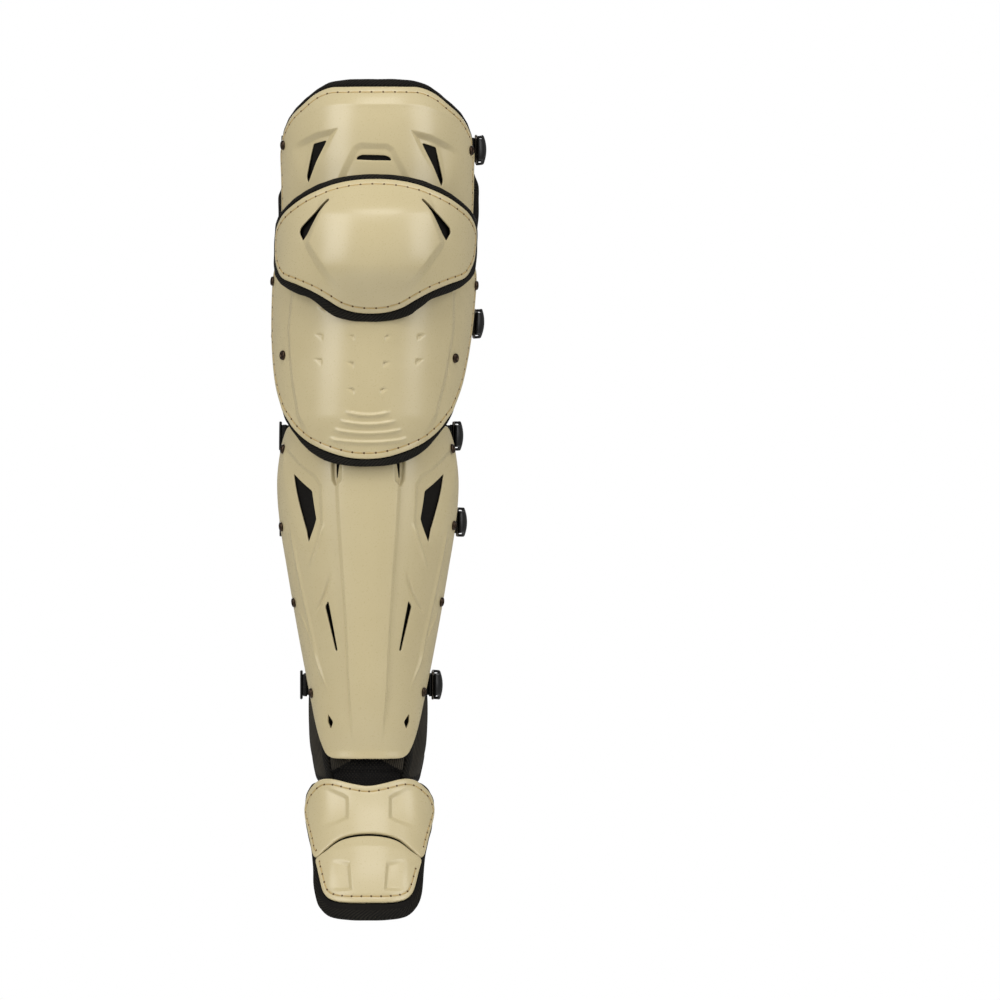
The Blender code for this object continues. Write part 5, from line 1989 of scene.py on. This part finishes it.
@dataclass
class Rivets:
    """The domed rivets, each a turned profile set on its spot by Geometry Nodes."""

    finishes: Finishes
    radius: float = 3.9
    gap: float = 0.25
    profile: tuple[Point, ...] = (
        (1.0, 0.0), (1.0, 0.3), (0.96, 0.55), (0.86, 0.85), (0.74, 0.97), (0.62, 0.92), (0.5, 0.62),
        (0.38, 0.42), (0.2, 0.36),
    )  # fmt: skip
    middle: float = 0.34
    rise: float = 1.8
    sides: int = 20

    def head(self) -> bpy.types.Object:
        """One rivet head, standing on its own plane."""
        turn = 2 * math.pi * np.arange(self.sides) / self.sides
        rings = []
        for share, high in self.profile:
            reach = share * self.radius
            height = np.full(self.sides, high * self.rise)
            rings.append(np.stack((reach * np.cos(turn), reach * np.sin(turn), height), axis=-1))
        points = np.vstack(rings + [[(0, 0, 0)], [(0, 0, self.middle * self.rise)]])
        faces, count = [], self.sides
        for k in range(len(self.profile) - 1):
            for s in range(count):
                a, b = k * count + s, k * count + (s + 1) % count
                faces += [(a, b, b + count), (a, b + count, a + count)]
        last = (len(self.profile) - 1) * count
        for s in range(count):
            faces.append(((s + 1) % count, s, len(points) - 2))
            faces.append((last + s, last + (s + 1) % count, len(points) - 1))
        return make_object("rivet_head", points, np.array(faces), [self.finishes.bronze])

    def build(self) -> None:
        """Sets every rivet."""
        points, facing = [], []
        for spot in RIVETS:
            flat = spot.form.flat([(spot.across, spot.down)])
            out = normals(spot.form.place, flat)
            points.append(spot.form.place(*flat.T)[0] + out[0] * self.gap)
            facing.append(out[0])
        guide = make_guide("rivet_spots", points, facing)
        head = self.head()
        tree, given = geometry_tree("rivet_setting")
        upright = {"axis": "Z", "Vector": facing_of(tree)}
        turn = add(tree, "FunctionNodeAlignRotationToVector", upright).outputs[0]
        shape = add(tree, "GeometryNodeObjectInfo", {"Object": head}).outputs["Geometry"]
        laid = add(
            tree, "GeometryNodeInstanceOnPoints", Points=given["Geometry"], Instance=shape, Rotation=turn
        ).outputs[0]
        real = add(tree, "GeometryNodeRealizeInstances", Geometry=laid).outputs[0]
        done = add(tree, "GeometryNodeSetMaterial", {"Material": self.finishes.bronze}, Geometry=real)
        add(tree, "NodeGroupOutput", Geometry=done.outputs[0])
        piece = realised(guide, "rivet_heads", tree, {})
        bpy.data.objects.remove(head)
        settle(piece, Slot.RIVET, *(f"rivet_{index:02d}" for index in range(1, len(RIVETS) + 1)))


@dataclass(frozen=True)
class SoftBox:
    """A lit panel that faces the guard, placed by its direction from it."""

    name: str
    yaw: float
    pitch: float
    reach: float
    size: Point
    glow: float

    def build(self, middle: float) -> None:
        """Adds the light.

        Args:
            middle: the height that it faces.
        """
        data = bpy.data.lights.new(self.name, "AREA")
        data.shape = "RECTANGLE"
        data.size, data.size_y = self.size
        data.energy = self.glow * math.pi * self.size[0] * self.size[1]
        yaw, pitch = math.radians(self.yaw), math.radians(self.pitch)
        lamp = link(self.name, data)
        lamp.location = (
            self.reach * math.sin(yaw) * math.cos(pitch),
            -self.reach * math.cos(yaw) * math.cos(pitch),
            middle + self.reach * math.sin(pitch),
        )  # fmt: skip
        lamp.rotation_euler = (math.pi / 2 - pitch, 0.0, yaw)


@dataclass
class Studio:
    """The pale floor, the soft lights and the camera."""

    camera_at: tuple[float, float, float] = (0.1069, -6.0, -0.2041)
    lens: float = 266.67
    sensor: float = 36.0
    floor_height: float = -0.70
    floor_radius: float = 1.0
    floor_sides: int = 96
    lit_height: float = -0.12
    surround: float = 0.24
    boxes: tuple[SoftBox, ...] = (
        SoftBox("left_box", -46.0, 22.0, 2.2, (1.0, 2.1), 4.2),
        SoftBox("right_box", 54.0, 22.0, 2.2, (0.85, 2.1), 3.9),
        SoftBox("front_box", 4.0, 58.0, 2.2, (1.5, 0.9), 3.8),
        SoftBox("back_box", 180.0, 30.0, 2.6, (1.8, 1.4), 4.5),
    )

    def floor(self) -> None:
        """A pale round floor under the guard."""
        turn = 2 * math.pi * np.arange(self.floor_sides) / self.floor_sides
        radius = self.floor_radius
        points = [(radius * math.cos(angle), radius * math.sin(angle), self.floor_height) for angle in turn]
        mesh = bpy.data.meshes.new("floor")
        mesh.from_pydata(points, [], [tuple(range(self.floor_sides))])
        material, tree, shader = new_material("painted_studio_floor")
        coords = add(tree, "ShaderNodeTexCoord").outputs["Object"]
        noise = add(tree, "ShaderNodeTexNoise", {"Scale": 3.0}, Vector=coords)
        gloss = add(tree, "ShaderNodeMapRange", {"To Min": 0.75, "To Max": 0.85}, Value=noise.outputs["Fac"])
        tree.links.new(gloss.outputs[0], shader.inputs["Roughness"])
        shader.inputs["Base Color"].default_value = linear("#f0f0ee")
        mesh.materials.append(material)
        link("floor", mesh)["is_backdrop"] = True

    def surroundings(self) -> None:
        """A white backdrop that lights the guard only softly."""
        world = bpy.data.worlds.new("studio")
        world.use_nodes = True
        tree = world.node_tree
        tree.nodes.clear()
        white = {"Color": linear("#ffffff")}
        soft = add(tree, "ShaderNodeBackground", {**white, "Strength": self.surround}).outputs[0]
        seen = add(tree, "ShaderNodeBackground", {**white, "Strength": 1.0}).outputs[0]
        path = add(tree, "ShaderNodeLightPath").outputs["Is Camera Ray"]
        mixed = add(tree, "ShaderNodeMixShader", {0: path, 1: soft, 2: seen}).outputs[0]
        add(tree, "ShaderNodeOutputWorld", Surface=mixed)
        bpy.context.scene.world = world
        bpy.context.scene.view_settings.view_transform = "Standard"

    def build(self) -> None:
        """Makes the studio."""
        self.floor()
        self.surroundings()
        for box in self.boxes:
            box.build(self.lit_height)
        data = bpy.data.cameras.new("camera")
        data.lens, data.sensor_width = self.lens, self.sensor
        data.clip_end = 100.0
        camera = link("camera", data)
        camera.location = self.camera_at
        camera.rotation_euler = (math.pi / 2, 0.0, 0.0)
        bpy.context.scene.camera = camera


def main() -> None:
    """Builds the guard's looks in order, and the studio."""
    logging.basicConfig(level=logging.INFO, format="%(name)s %(message)s")
    Studio().build()
    finishes = Finishes()
    for builder in (Plates(finishes), Pads(finishes), Hardware(finishes), Rivets(finishes)):
        builder.build()
        LOG.info("%s done", type(builder).__name__)


if __name__ == "__main__":
    main()
    boxes = {"cad": CAD_BOX, "looks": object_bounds()}
    {name: [list(corner) for corner in box] for name, box in boxes.items()}
